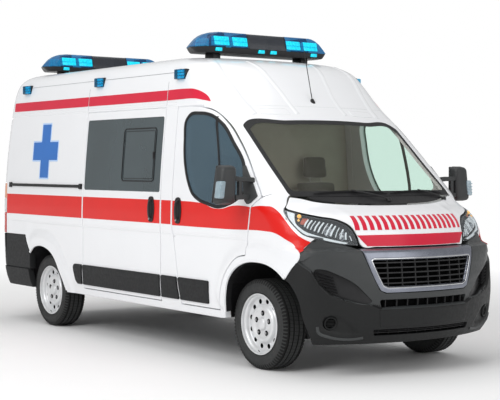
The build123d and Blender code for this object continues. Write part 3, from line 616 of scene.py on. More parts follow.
def thick(outer, inner, faces):
    """Closed shell from a patch and the same patch sunk inwards."""
    n = len(outer)
    faces = [tuple(face) for face in faces]
    edges = {}
    for face in faces:
        for a, b in zip(face, face[1:] + face[:1]):
            edges[(a, b)] = True
    rim = [(b, a, a + n, b + n) for a, b in edges if (b, a) not in edges]
    back_side = [tuple(k + n for k in face[::-1]) for face in faces]
    return np.vstack([outer, inner]), faces + back_side + rim


def panel(shape, domain, loops, outer=0.0, inner=WALL, roll=3.5, spacing=42, material=0,
          rows=(), dents=None, hold=4.0, seeds=()):
    """Body panel with rolled edges, from outlines in a body domain."""
    loops = turned(loops)
    if roll:
        rings = [(0, roll), (0.3 * roll, 0.3 * roll), (roll, 0), (roll + hold, 0)]
    else:
        rings = [(0, 0)]
    stacks = [[inset(loop, way) for way, _ in rings] for loop in loops]
    points, faces = filled([stack[-1] for stack in stacks], spacing, rows, seeds)
    faces = [tuple(face) for face in faces]
    depth = np.zeros(len(points))
    base = len(points)
    extra, extra_depth, start = [], [], 0
    for loop, stack in zip(loops, stacks):
        n = len(loop)
        level = [start + k for k in range(n)]
        for (way, sink), ring in list(zip(rings, stack))[-2::-1]:
            outside = [base + k for k in range(n)]
            extra.append(ring)
            extra_depth += [sink] * n
            base += n
            for k in range(n):
                j = (k + 1) % n
                faces.append((outside[k], outside[j], level[j], level[k]))
            level = outside
        start += n
    if extra:
        points = np.vstack([points] + extra)
        depth = np.concatenate([depth, extra_depth])
    if dents is not None:
        depth = depth + dents(points)
    x, s, nx, ns = domain(points[:, 0], points[:, 1])
    sunk = depth + outer
    top = np.column_stack([x - nx * sunk, s - ns * sunk, points[:, 1]])
    low = np.column_stack([x - nx * inner, s - ns * inner, points[:, 1]])
    shape.add(*thick(top, low, faces), material)
    return shape


def film(shape, domain, loop, material, spacing=45, proud=0.6, dents=None):
    """Thin coloured film laid on a panel."""
    return panel(shape, domain, [loop], -proud, 0.5, 0, spacing, material, (), dents)


def sweep(points, across, out, section, closed=False):
    """Bar that follows points; its section is (across, out) pairs, at most one closed loop."""
    points, across, out = (np.asarray(v, float) for v in (points, across, out))
    n, m = len(points), len(section)
    body = np.vstack([points[i] + np.outer([a for a, _ in section], across[i])
                      + np.outer([b for _, b in section], out[i]) for i in range(n)])
    faces = []
    for i in range(n if closed else n - 1):
        j = (i + 1) % n
        faces += [(i * m + k, i * m + (k + 1) % m, j * m + (k + 1) % m, j * m + k)
                  for k in range(m)]
    if not closed:
        faces += [tuple(range(m))[::-1], tuple((n - 1) * m + k for k in range(m))]
    return body, faces


def bead(domain, line, section, closed=True):
    """Strip that follows a line on the body; its section is (across, out) pairs."""
    line = np.asarray(line, float)
    at_line = put(domain, line)
    out = normals(domain, line)
    if closed:
        along = np.roll(at_line, -1, axis=0) - np.roll(at_line, 1, axis=0)
    else:
        along = np.gradient(at_line, axis=0)
    along /= np.linalg.norm(along, axis=1)[:, None]
    return sweep(at_line, np.cross(along, out), out, section, closed)


def ring_section(radius, sides):
    return [(radius * cos(2 * pi * k / sides), radius * sin(2 * pi * k / sides))
            for k in range(sides)]


def tube(points, radius, sides=12):
    """Round bar through points."""
    points = np.asarray(points, float)
    along = np.gradient(points, axis=0)
    along /= np.linalg.norm(along, axis=1)[:, None]
    aid = np.array([0.0, 0, 1]) if abs(along[0][2]) < 0.9 else np.array([1.0, 0, 0])
    across = np.cross(along, aid)
    across /= np.linalg.norm(across, axis=1)[:, None]
    return sweep(points, across, np.cross(across, along), ring_section(radius, sides))


def smooth_line(points, count=24):
    """Smooth 3-D curve through a few points."""
    points = np.asarray(points, float)
    t = np.concatenate([[0], np.cumsum(np.linalg.norm(np.diff(points, axis=0), axis=1))])
    slope = np.gradient(points, t, axis=0)
    q = np.linspace(0, t[-1], count)
    i = np.clip(np.searchsorted(t, q, side="right") - 1, 0, len(t) - 2)
    h = (t[i + 1] - t[i])[:, None]
    f = ((q - t[i]) / (t[i + 1] - t[i]))[:, None]
    return (points[i] * (1 + 2 * f) * (1 - f) ** 2 + slope[i] * h * f * (1 - f) ** 2
            + points[i + 1] * f * f * (3 - 2 * f) + slope[i + 1] * h * f * f * (f - 1))


def lathe(profile, centre, axis="x", steps=48):
    """Solid turned about an axis from a closed loop of (offset, radius) pairs."""
    points, faces, index = [], [], []
    order = {"x": (0, 1, 2), "y": (1, 2, 0), "z": (2, 0, 1)}[axis]
    for offset, radius in profile:
        row = []
        for k in range(steps if radius > 1e-6 else 1):
            angle = 2 * pi * k / steps
            local = [0.0, 0.0, 0.0]
            local[order[0]] = offset
            local[order[1]] = radius * cos(angle)
            local[order[2]] = radius * sin(angle)
            row.append(len(points))
            points.append([local[i] + centre[i] for i in range(3)])
        index.append(row)
    for i in range(len(profile)):
        a, b = index[i], index[(i + 1) % len(profile)]
        for k in range(steps):
            j = (k + 1) % steps
            face = [a[k % len(a)], a[j % len(a)], b[j % len(b)], b[k % len(b)]]
            face = [v for n, v in enumerate(face) if v not in face[:n]]
            if len(face) > 2:
                faces.append(tuple(face))
    return points, faces


def block(low, high, radius=0.0, steps=2, taper=None):
    """Box with rounded edges between two corners."""
    mesh = bmesh.new()
    bmesh.ops.create_cube(mesh, size=1.0)
    low, high = np.minimum(low, high), np.maximum(low, high)
    for vert in mesh.verts:
        share = np.array(vert.co) + 0.5
        place = low + share * (high - low)
        if taper is not None:
            place = taper(place, share)
        vert.co = place
    if radius:
        bmesh.ops.bevel(mesh, geom=mesh.edges[:], offset=radius, segments=steps,
                        profile=0.5, affect="EDGES", clamp_overlap=True)
    mesh.verts.index_update()
    points = [tuple(v.co) for v in mesh.verts]
    faces = [tuple(v.index for v in f.verts) for f in mesh.faces]
    mesh.free()
    return points, faces


def piece(name, shape, materials, body, nodes=(), sharp=38):
    """Blender object from a shape, riding on a body and standing for CAD nodes."""
    points = np.vstack(shape.points)
    points = (points - (0, LENGTH / 2, 0)) / 1000
    mesh = bpy.data.meshes.new(name)
    mesh.from_pydata(points.tolist(), [], shape.faces)
    mesh.polygons.foreach_set("material_index", shape.marks)
    for material in materials:
        mesh.materials.append(material)
    mesh.polygons.foreach_set("use_smooth", [True] * len(mesh.polygons))
    mesh.set_sharp_from_angle(angle=radians(sharp))
    mesh.update()
    thing = bpy.data.objects.new(name, mesh)
    bpy.context.scene.collection.objects.link(thing)
    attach(thing, body)
    if nodes:
        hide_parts(*nodes)
    return thing


# ---------------------------------------------------------------- body panels


def outline_by(measure):
    """Maker of outlines from (place, height), as contour distance by the given measure."""
    def outline_on(points, step=22.0):
        loop = path(points, step)
        return np.column_stack([measure(loop[:, 0], loop[:, 1]), loop[:, 1]])

    return outline_on


def at_one(measure, place_, z):
    """Contour distance of a single place."""
    return float(measure(place_, z)[0])


def controls_by(measure):
    """Maker of control points from (place, height), radii kept."""
    return lambda points: [(at_one(measure, a, z), z, *more) for a, z, *more in points]


# on_side and nose_way read stations, on_front and face_way read x seen from the front
on_side, on_front, on_tail = outline_by(u_at), outline_by(u_of_x), outline_by(w_at)
nose_way, face_way = controls_by(u_at), controls_by(u_of_x)


def doubled(half):
    """Closed outline over the middle, from its left half listed top to bottom."""
    return half + [(-p[0], *p[1:]) for p in half[::-1] if p[0]]


DOOR_REAR = 2062
CAB_DOOR = [
    (1930, DOOR_BOTTOM, 26), (DOOR_REAR, 1073, 60), (DOOR_REAR, CANT, 26), (1860, CANT, 0),
    (1694, 2065), (1563, 2032), (1387, 1926), (1218, 1783), (1054, 1624), (946, 1508),
    (835, 1379), (806, 1337, 26), (912, 1259, 40), (935, 1123), (954, 1007), (973, 882, 30),
    (1085, 862), (1200, 783), (1284, 675), (1324, 553), (1352, DOOR_BOTTOM, 26),
]
CAB_WINDOW = [
    (1913, 1959), (1865, 1999), (1716, 2011), (1570, 1992), (1448, 1931), (1245, 1759),
    (1070, 1585), (1000, 1470), (986, 1412), (1050, 1352), (1240, 1272), (1365, 1251),
    (1510, 1271), (1644, 1300), (1752, 1355), (1820, 1445), (1882, 1585), (1917, 1793),
]
SLIDE = (2240, 3640)
SLIDING_DOOR = [(SLIDE[0], DOOR_BOTTOM, 26), (SLIDE[0], CANT, 26), (SLIDE[1], CANT, 26),
                (SLIDE[1], DOOR_BOTTOM, 26)]
SLIDING_WINDOW = [(SLIDE[0] + 23, WAIST + 4, 22), (SLIDE[0] + 23, 2000, 22),
                  (SLIDE[1] - 23, 2000, 22), (SLIDE[1] - 23, WAIST + 4, 22)]
ARCH_FRONT = [(1264, 558), (1230, 679), (1145, 771), (1015, 832), (841, 852), (685, 838),
              (558, 794), (474, 740), (425, 698), (359, 592), (333, 445)]
ARCH_REAR = [(3968, SILL, 0), (4030, 480), (4101, 576), (4180, 670), (4270, 737),
             (4400, 782), (4564, 792), (4670, 765), (4742, 709, 0)]
SEAM = [(345, 1038, 0), (372, 972), (361, 901), (412, 825, 20), (474, 740, 0)]
LAMP_LOWER = [(192, 973), (289, 1008), (345, 1038), (400, 1067), (456, 1117), (537, 1189)]
BONNET_SIDE = [(192, 978), (219, 1057), (267, 1131), (319, 1168), (406, 1197), (505, 1226),
               (623, 1256)]
STEP_TOP, CORNER_TOP, LAMP_TOP = 540, 880, 1400
REAR_HALF, REAR_LOW, REAR_HIGH = 835, 548, 2230
CORNER_X = 865
FLARE, PRESS = 7.0, 6.0   # how far the flares stand out and the lower body is pressed in


def ease(t):
    t = np.clip(t, 0, 1)
    return t * t * (3 - 2 * t)


def lower_body(s, z):
    """Depth of the flank below its crease: pressed in, and raised round the wheel openings."""
    spots = np.column_stack([s, z])
    raised = np.zeros(len(spots))
    for arch_line, fade in ((ARCH_FRONT, ease((s - 440) / 130)),
                            (ARCH_REAR, ease((4820 - s) / 140))):
        line = np.array([p[:2] for p in arch_line], float)
        raised = np.maximum(raised, ease((140 - distance_to(spots, [line])) / 42) * fade)
    pressed = ease((1016 - z) / 18) * ease((s - 560) / 240) * ease((4840 - s) / 160)
    return pressed * PRESS * (1 - raised) - FLARE * raised


def crease(points):
    """A pressed line along the flank below the handles, and the lower body's shape."""
    s, z = points[:, 0], points[:, 1]
    return 2.5 * np.exp(-((z - 1022) / 7) ** 2) + lower_body(s, z)


CREASE_ROWS = (990, 998, 1003, 1008, 1013, 1018, 1022, 1027, 1034)

# roof, with the opening for the rear doors left out of its tail
ROOF_LEVELS = [CANT + 0.5, 2120, 2170, 2229.5, 2270, 2320, 2360, 2400, 2425, 2445, 2462, 2476,
               2487, 2497, 2506, 2513, 2518.5, 2522, ROOF_TOP]


def roof_ring(z, sink, drop):
    """One level of the roof from the middle of the nose round the left side to the tail."""
    _, arc, corner, half, tail, round_, _, _, turn = (float(v[0]) for v in level_at([z]))
    end = at_one(u_at, tail - round_, z)
    first = arc * turn
    second = first + corner * (pi / 2 - turn)
    u = np.concatenate([np.linspace(0, first, 15)[:-1], np.linspace(first, second, 11)[:-1],
                        np.linspace(second, end, 36)])
    ahead = put(front, np.column_stack([u, np.full(len(u), z)]), sink)
    edge = min(REAR_HALF, half - round_ - 4)
    w = np.concatenate([half - round_ + round_ * np.linspace(pi / 2, 0, 9)[1:],
                        np.linspace(edge, 0, 15)])
    behind = put(back, np.column_stack([w, np.full(len(w), z)]), sink)
    ring = np.vstack([ahead, behind])
    ring[:, 2] -= drop
    return ring


def roof_patch(sink, drop):
    rings = []
    for z in ROOF_LEVELS:
        half_ring = roof_ring(z, sink, drop)
        rings.append(np.vstack([half_ring, (half_ring * (-1, 1, 1))[-2:0:-1]]))
    around = len(rings[0])
    points = list(np.vstack(rings))
    last = (len(rings) - 1) * around
    n = len(roof_ring(CANT, 0, 0))
    faces = []
    for i in range(len(rings) - 1):
        for k in range(around):
            j = (k + 1) % around
            x_high = max(abs(rings[i][k][0]), abs(rings[i][j][0]))
            at_tail = rings[i][k][1] > 5200 and rings[i][j][1] > 5200
            if at_tail and ROOF_LEVELS[i] < 2225 and x_high <= REAR_HALF + 0.5 + sink:
                continue
            faces.append((i * around + k, i * around + j, (i + 1) * around + j,
                          (i + 1) * around + k))
    # the flat top is a ladder of strips between the two sides
    for k in range(n - 1):
        a, b = last + k, last + k + 1
        c = last + (around - k) % around
        d = last + (around - k - 1) % around
        face = [v for m, v in enumerate((a, b, d, c)) if v not in (a, b, d, c)[:m]]
        if len(face) > 2:
            faces.append(tuple(face))
    return np.array(points), faces


roof = Shape()
roof_out, roof_faces = roof_patch(0, 0)
roof_in, _ = roof_patch(WALL, 50)
used = sorted({k for face in roof_faces for k in face})
index = {k: m for m, k in enumerate(used)}
roof.add(*thick(roof_out[used], roof_in[used],
                [tuple(index[k] for k in face) for face in roof_faces]))

# side walls: one outline from the sill round the tail corner to the rear doors


def wall_outline(window_side):
    """Side wall outline in contour distance from the tail's middle."""
    arch = on_tail([(1352, SILL, 0)] + ARCH_REAR + [(4803, 776), (4855, CORNER_TOP, 0),
                   (5296, CORNER_TOP, 0), (5296, LAMP_TOP + 4, 0), (5340, LAMP_TOP + 4, 0)])
    stop = int(np.argmin(np.abs(arch[:, 1] - LAMP_TOP - 4)
                         + np.abs(arch[:, 0] - at_one(w_at, 5340, 1404))))
    arch = arch[:stop + 1]
    corner = []
    for w in np.linspace(arch[-1][0], CORNER_X, 6)[1:]:
        corner.append((w, LAMP_TOP + 4))
    for z in np.linspace(LAMP_TOP + 4, STEP_TOP + 2, 36)[1:]:
        corner.append((CORNER_X, z))
    corner.append((REAR_HALF, STEP_TOP + 2))
    for z in np.linspace(STEP_TOP + 2, CANT, 64)[1:]:
        corner.append((REAR_HALF, z))
    ring = []
    if window_side:
        ring += [(s, CANT) for s in np.linspace(5250, DOOR_REAR, 80)]
    else:
        ring += [(s, CANT) for s in np.linspace(5250, SLIDE[1], 40)]
        ring += [(SLIDE[1], z) for z in np.linspace(CANT, DOOR_BOTTOM, 50)[1:]]
        ring += [(s, DOOR_BOTTOM) for s in np.linspace(SLIDE[1], SLIDE[0], 36)[1:]]
        ring += [(SLIDE[0], z) for z in np.linspace(DOOR_BOTTOM, CANT, 50)[1:]]
        ring += [(SLIDE[0] - 60, CANT), (SLIDE[0] - 120, CANT), (DOOR_REAR, CANT)]
    ring += [(DOOR_REAR, z) for z in np.linspace(CANT, 1073, 34)[1:]]
    ring += [(DOOR_REAR + (1930 - DOOR_REAR) * t, 1073 + (DOOR_BOTTOM - 1073) * t)
             for t in np.linspace(0, 1, 22)[1:]]
    ring += [(s, DOOR_BOTTOM) for s in np.linspace(1930, 1352, 20)[1:]]
    ring = np.array(ring, float)
    ring = np.column_stack([w_at(ring[:, 0], ring[:, 1]), ring[:, 1]])
    return np.vstack([arch, corner, ring])


def wall_dents(points):
    """Creases stop before the tail corner."""
    fade = np.clip((points[:, 0] - 1150) / 120, 0, 1)
    s = back(points[:, 0], points[:, 1])[1]
    return crease(np.column_stack([s, points[:, 1]])) * fade


BEND_ROWS = (936, 944, 951, 957, 963, 969, 976, 984, 994)


def fender_dents(points):
    """The lower body's shape goes on over the fender."""
    s = front(points[:, 0], points[:, 1])[1]
    return lower_body(s, points[:, 1])


left_loop = on_tail([(2400, WAIST + 60, 40), (2400, 1940, 40), (3480, 1940, 40),
                     (3480, WAIST + 60, 40)])
walls = {}
for side in ("right", "left"):
    wall = Shape()
    loops = [wall_outline(side == "left")]
    if side == "left":
        loops.append(left_loop)
    panel(wall, back, loops, rows=CREASE_ROWS, dents=wall_dents, spacing=36)
    walls[side] = wall

# cab doors, sliding door and their glass
cab_door = Shape()
door_loop, window_loop = path(CAB_DOOR, 18), path(CAB_WINDOW, 18)
panel(cab_door, flank, [grown(door_loop, -GAP), window_loop], rows=CREASE_ROWS, dents=crease,
      spacing=38)
cab_glass = Shape()
panel(cab_glass, flank, [grown(window_loop, -0.6)], GLASS_OUT, GLASS_IN, 0.8, 45)
sliding = Shape()
slide_loop, slide_window = path(SLIDING_DOOR), path(SLIDING_WINDOW)
panel(sliding, flank, [grown(slide_loop, -GAP), slide_window], rows=CREASE_ROWS, dents=crease,
      spacing=46, roll=2.5, hold=2)
sliding_glass = Shape()
panel(sliding_glass, flank, [grown(slide_window, -0.6)], GLASS_OUT, GLASS_IN, 0.8, 60)

# fenders, with the door's edge behind them and the lamp in front
fender = Shape()
FENDER = (
    SEAM[::-1] + LAMP_LOWER[3:5] + [(537, 1189, 10), (600, 1236, 8), (623, 1256, 0),
    (642, 1283), (674, 1357, 0), (715, 1388, 0), (806, 1337, 0), (912, 1259, 30), (935, 1123),
    (954, 1007), (973, 882, 24), (1085, 862), (1200, 783), (1284, 675), (1324, 553),
    (1352, DOOR_BOTTOM, 0), (1352, SILL, 0), (1290, SILL + 7, 0)] + ARCH_FRONT[:7]
)
fender_loop = on_side(FENDER, 18)
panel(fender, front, [fender_loop], spacing=18, roll=2.5, dents=fender_dents, rows=BEND_ROWS)
fenders = Shape().join(fender.flipped()).join(fender)

# bonnet
BONNET = ([(0, 970)] + nose_way([(118, 970), (150, 971), (192, 980)] + BONNET_SIDE[1:-1]
          + [(622, 1257, 14), (642, 1283), (665, 1343, 18), (630, 1334), (576, 1309),
             (515, 1292), (455, 1282)]) + [(0, 1279)])
bonnet_loop = path(doubled(BONNET), 20)


def bonnet_dents(points):
    """Two broad ribs run back over the bonnet from inside the lamps."""
    u, z = np.abs(points[:, 0]), points[:, 1]
    rise = np.clip((z - 1000) / 120, 0, 1) * np.clip((1300 - z) / 60, 0, 1)
    line = 470 + (z - 1000) * 0.30
    return -7.0 * rise * np.exp(-((u - line) / 34) ** 2)


bonnet = Shape()
panel(bonnet, front, [grown(bonnet_loop, -GAP / 2)], 0, 16, spacing=28, dents=bonnet_dents)

# bumper cover with its notch for the grille frame and the openings below
BUMPER_EDGE = (
    [(0, 252)] + nose_way([(110, 252), (200, 252), (333, 252, 30), (333, 445), (359, 592),
    (425, 698), (474, 740, 0), (412, 825), (361, 901), (372, 972), (345, 1038, 5), (289, 1008),
    (235, 986)]) + face_way([(592, 972, 0), (569, 958, 14), (562, 930), (520, 812), (478, 715),
    (447, 655, 28), (400, 633, 20)]) + [(0, 632)]
)
bumper_loop = path(doubled(BUMPER_EDGE), 20)
SLOT = doubled([(446, 585, 12), (430, 530, 10)])
LOWER_SLOT = doubled([(486, 362, 10), (470, 318, 10)])
FOG_X, FOG_Z, FOG_R = 800, 418, 47
SCOOP = [(922, 812, 26), (872, 818), (741, 771), (639, 711), (545, 620), (491, 567, 14),
         (560, 562), (712, 602), (814, 647), (880, 722)]


def round_hole(x, z, radius, count=28):
    """Circle seen from the front, as an outline on the body."""
    loop = np.array([(x + radius * cos(2 * pi * k / count), z + radius * sin(2 * pi * k / count))
                     for k in range(count)])
    return np.column_stack([u_of_x(loop[:, 0], loop[:, 1]), loop[:, 1]])


front_bumper = Shape()
scoop_loop = on_front(SCOOP, 16)
holes = [on_front(SLOT, 30), on_front(LOWER_SLOT, 30), scoop_loop, scoop_loop * (-1, 1),
         round_hole(FOG_X, FOG_Z, FOG_R), round_hole(-FOG_X, FOG_Z, FOG_R)]
SHELF = ((440, 514, 40), (520, 546, 60), (600, 560, 60), (712, 584, 60), (814, 628, 60),
         (885, 702, 60), (930, 800, 60), (1000, 884, 30))
TEAR = on_front([(872, 428, 30), (856, 478, 30), (800, 494, 40), (735, 480, 60), (675, 440, 60),
                 (620, 388, 60), (570, 330, 20), (640, 316, 30), (720, 320, 60), (800, 340, 60),
                 (856, 378, 40)], 12)
SHELF_DEPTH, HOLLOW_DEPTH = 20.0, 20.0


def over_shelf():
    """Outline of everything above the shelf's edge, well past the bumper's own outline."""
    half = face_way(SHELF)
    end = half[-1][0] + 500
    half += [(end, 900), (end, 1300)]
    return path([(-u, z, *more) for u, z, *more in half[::-1]] + half, 9)


OVER_SHELF = over_shelf()


def bumper_dents(points):
    """The lower half stands out as a shelf, with a tear-shaped hollow round each fog lamp."""
    z = points[:, 1]
    above = distance_to(points, [OVER_SHELF]) * inside(points, [OVER_SHELF])
    shelf = SHELF_DEPTH * ease(above / 16) * np.clip(1 - (above - 16) / 150, 0, 1)
    half = np.column_stack([np.abs(points[:, 0]), z])
    hollow = inside(half, [TEAR]) * ease(distance_to(half, [TEAR]) / 36)
    return shelf + HOLLOW_DEPTH * hollow + 4.0 * np.clip((300 - z) / 50, 0, 1)


def scoop_dents(points):
    """The scoop's floor slopes in towards its outer, louvred end."""
    x = np.abs(front(points[:, 0], points[:, 1])[0])
    return 12.0 + 34.0 * ease((x - 540) / 240)


bumper_seeds = np.vstack([grown(OVER_SHELF, -way) for way in (-7, 0, 5, 10, 16, 24)]
                         + [grown(TEAR, -way) * side for way in (0, 12, 24)
                            for side in ((1, 1), (-1, 1))])
panel(front_bumper, front, [bumper_loop] + holes, spacing=14, roll=4, dents=bumper_dents,
      seeds=bumper_seeds)
# faces below the shelf's edge take the darker copy of the plastic, which paints the lower front's
# shade
spots = front_bumper.points[0]
middles = np.array([spots[list(face)].mean(axis=0) for face in front_bumper.faces])
turned_to = np.column_stack([u_at(middles[:, 1], middles[:, 2]) * np.sign(middles[:, 0]),
                             middles[:, 2]])
for k in np.nonzero(~inside(turned_to, [OVER_SHELF]))[0]:
    front_bumper.marks[k] = 1
for loop in (scoop_loop, scoop_loop * (-1, 1)):
    panel(front_bumper, front, [grown(loop, 5)], 10, 70, 0, 16, 2, dents=scoop_dents)

grille_frame = Shape()
FRAME_LOOP = doubled([(566, 963, 10), (558, 930), (517, 812), (475, 713), (442, 653, 26),
                      (396, 636, 20)])
GRILLE_HOLE = doubled([(506, 889, 16), (470, 800), (420, 690, 18), (382, 675, 14)])
frame_loop, hole_loop = on_front(FRAME_LOOP, 18), on_front(GRILLE_HOLE, 18)
panel(grille_frame, front, [frame_loop, hole_loop], 0, WALL, 9, 26)
panel(grille_frame, front, [grown(hole_loop, 1), grown(hole_loop, -9)], 8, 40, 3, 20)
grille_frame.add(*bead(front, grown(hole_loop, 2), [(-4, -8), (-4, 1), (-1.5, 3), (1.5, 3), (4, 1),
                                                    (4, -8)]), 1)

# windscreen, its frame and the scuttle under it
SCREEN = doubled([(0, 1958), (420, 1950), (780, 1930), (818, 1905, 0), (833, WAIST + 1, 20)])
screen_loop = on_front(SCREEN, 26)
windscreen = Shape()
panel(windscreen, front, [grown(screen_loop, -0.6)], GLASS_OUT, GLASS_IN, 0.8, 70)
FRAME_EDGE = (
    [(0, CANT - 0.5)] + nose_way([(1600, CANT - 0.5), (1690, CANT - 0.5, 0), (1672, 2060, 0),
    (1563, 2032), (1387, 1926), (1218, 1783), (1054, 1624), (946, 1508), (838, 1383, 0),
    (809, 1343, 6), (760, 1365, 0)])
    + face_way([(836, WAIST + 3, 0), (820, 1904, 30), (780, 1932), (420, 1952)]) + [(0, 1960)]
)
HEADER = path(doubled(FRAME_EDGE), 22)

windscreen_frame = Shape()
panel(windscreen_frame, front, [HEADER], spacing=40, roll=2.5, hold=3)

scuttle = Shape()
SCUTTLE_EDGE = ([(0, 1286)] + nose_way([(452, 1287), (515, 1298), (576, 1317), (604, 1331, 0),
                                        (610, WAIST - 1, 0)]) + [(0, WAIST - 1)])
panel(scuttle, front, [path(doubled(SCUTTLE_EDGE), 24)], 6, WALL, 2, 30)

# rear doors, their glass and the rear bumper
rear_leaf = Shape()
REAR_WINDOW = [(150, WAIST + 40, 50), (150, 1950, 50), (700, 1950, 50), (700, WAIST + 40, 50)]
leaf_loop = path([(GAP / 2, REAR_LOW + GAP, 6), (GAP / 2, REAR_HIGH - GAP, 6),
                  (REAR_HALF - GAP, REAR_HIGH - GAP, 14), (REAR_HALF - GAP, REAR_LOW + GAP, 14)])
rear_window = path(REAR_WINDOW)


def leaf_dents(points):
    """A pressed panel below the window of each rear door."""
    x, z = np.abs(points[:, 0]), points[:, 1]
    edge = np.minimum(np.minimum(x - 90, 750 - x), np.minimum(z - 700, 1240 - z))
    return 4.0 * np.clip(edge / 18, 0, 1)


panel(rear_leaf, back, [leaf_loop, rear_window], spacing=36, dents=leaf_dents)
rear_glass = Shape()
panel(rear_glass, back, [grown(rear_window, -0.6)], GLASS_OUT, GLASS_IN, 0.8, 60)
left_window = Shape()
panel(left_window, back, [grown(left_loop, -0.6)], GLASS_OUT, GLASS_IN, 0.8, 60)

rear_bumper = Shape()


def step_outline():
    end = at_one(w_at, 4744, 450)
    half = [(w, 357.0) for w in np.linspace(0, end, 48)]
    half += [(end, z) for z in np.linspace(357, STEP_TOP - 1, 8)[1:]]
    half += [(w, STEP_TOP - 1.0) for w in np.linspace(end, 0, 48)[1:]]
    half = np.array(half)
    return np.vstack([half, (half * (-1, 1))[::-1][1:-1]])


panel(rear_bumper, back, [step_outline()], -13, WALL - 13, 6, 34)
corner_path = on_tail([(5296, STEP_TOP, 0), (4742, STEP_TOP, 0), (4742, 709, 12), (4803, 776),
                       (4855, CORNER_TOP - 2, 12), (5296, CORNER_TOP - 2, 0)], 20)
corner_path = corner_path[corner_path[:, 0] > at_one(w_at, 5297, 700) - 1]
tail_side = [(w, CORNER_TOP - 2.0)
             for w in np.linspace(corner_path[-1][0], CORNER_X + 2, 8)[1:]]
tail_side += [(CORNER_X + 2, z) for z in np.linspace(CORNER_TOP - 2, STEP_TOP, 18)[1:]]
tail_side += [(w, STEP_TOP) for w in np.linspace(CORNER_X + 2, corner_path[0][0], 8)[1:-1]]
for mirror_x in (1, -1):
    panel(rear_bumper, back, [np.vstack([corner_path, tail_side]) * (mirror_x, 1)], -3, WALL, 6, 34)

# ---------------------------------------------------------------- panels as pieces


def both(name, shape, materials, bodies, nodes=("", ""), sharp=38):
    """A shape built on the left, and the same on the right."""
    for side, body, node in zip(("left", "right"), bodies, nodes):
        piece(f"{name}_{side}", shape if side == "left" else shape.flipped(), materials, body,
              [node] if node else (), sharp)


DOORS = ("cab_door_left", "cab_door_right")
LEAVES = ("rear_door_left", "rear_door_right")
VAN = ("van", "van")
piece("roof_shell", roof, [WHITE], "van", ["roof"], 30)
piece("side_wall_panel_right", walls["right"].flipped(), [WHITE], "van", ["side_wall_right"])
piece("side_wall_panel_left", walls["left"], [WHITE], "van", ["side_wall_left"])
both("cab_door_panel", cab_door, [WHITE], DOORS, DOORS)
piece("cab_door_pane_left", cab_glass, [MINT_GLASS], "cab_door_left", ["cab_door_glass_left"])
piece("cab_door_pane_right", cab_glass.flipped(), [CAB_GLASS], "cab_door_right",
      ["cab_door_glass_right"])
piece("sliding_door_panel", sliding.flipped(), [WHITE], "van", ["sliding_door"])
piece("sliding_door_pane", sliding_glass.flipped(), [DARK_GLASS], "van", ["sliding_door_glass"])
piece("fender_panels", fenders, [WHITE], "van", ["fenders"])
piece("bonnet_panel", bonnet, [WHITE], "bonnet", ["bonnet"])
backing = panel(Shape(), front, [path(nose_way([(300, 985, 10), (316, 1044, 10), (372, 1062, 10),
                                                (430, 1030, 10), (430, 860, 10), (340, 880, 10)]))],
                6, 26, 0, 26)
both("bumper_joint_backing", backing, [BUMPER], VAN)
piece("front_bumper_cover", front_bumper, [BUMPER, LOWER_BUMPER_SHADE, BLACK], "van", ["front_bumper"])
piece("grille_surround", grille_frame, [CHROME, MIRROR], "van", ["grille_frame"])
piece("windscreen_pane", windscreen, [SCREEN_GLASS], "van", ["windscreen"])
piece("windscreen_pillars", windscreen_frame, [WHITE], "van", ["windscreen_frame"])
piece("scuttle_panel", scuttle, [BLACK], "van", ["scuttle"])
both("rear_door_panel", rear_leaf, [WHITE], LEAVES, LEAVES)
both("rear_door_pane", rear_glass, [DARK_GLASS], LEAVES,
     ("rear_door_glass_left", "rear_door_glass_right"))
piece("side_window_pane", left_window, [DARK_GLASS], "van", ["side_window_left"])
piece("rear_bumper_cover", rear_bumper, [MOULDING_MAT], "van", ["rear_bumper"])

# ---------------------------------------------------------------- coloured films

BAND_LOW, BAND_HIGH = 1087, 1288


def rectangle(left, right, low, high, radius=3):
    return path([(left, low, radius), (left, high, radius), (right, high, radius),
                 (right, low, radius)])


def band_dents(points):
    """The band's film follows the flare, and stands clear where the corner slopes away."""
    return fender_dents(points) - 4.0 * np.clip((1040 - points[:, 1]) / 40, 0, 1)


band = {}
band["door"] = film(Shape(), flank, path([
    (926, 1262, 4), (1130, 1268), (1200, 1261), (1290, 1241), (1365, 1236), (1440, 1240),
    (1510, 1256), (1590, 1275), (1680, 1281), (2049, 1286, 3), (2049, 1081, 3), (1500, 1080),
    (1193, 1080), (955, 1085, 4)]), 0, 40, 1.4)
band["fender"] = panel(Shape(), front, [path(nose_way([
    (909, 1262, 3), (830, 1272), (764, 1273), (690, 1262), (640, 1240), (576, 1202), (499, 1136),
    (430, 1068), (358, 1014, 3), (377, 975), (371, 938, 3), (432, 982), (509, 1034), (603, 1074),
    (725, 1084), (937, 1086, 3), (931, 1125), (921, 1190)]), 16)], -1.6, 0.5, 0, 14, 0,
    BEND_ROWS, band_dents)
band["pillar"] = film(Shape(), flank, rectangle(2075, 2228, BAND_LOW, BAND_HIGH), 0, 60, 1.4)
band["sliding"] = film(Shape(), flank, rectangle(SLIDE[0] + 13, SLIDE[1] - 13, BAND_LOW,
                                                 BAND_HIGH), 0, 60, 1.4)
band["rear"] = film(Shape(), flank, rectangle(SLIDE[1] + 12, 5286, BAND_LOW, BAND_HIGH), 0, 60, 1.4)
band["wall"] = film(Shape(), flank, rectangle(2075, 5286, BAND_LOW, BAND_HIGH), 0, 60, 1.4)
band["leaf"] = film(Shape(), back, rectangle(12, REAR_HALF - 18, BAND_LOW + 4, BAND_HIGH - 14), 0,
                    50, 1.4)
both("red_band_cab_door", band["door"], [RED], DOORS)
both("red_band_fender", band["fender"], [RED], VAN)
both("red_band_rear_door", band["leaf"], [RED], LEAVES)
right_band = Shape()
for part in ("pillar", "sliding", "rear"):
    right_band.join(band[part])
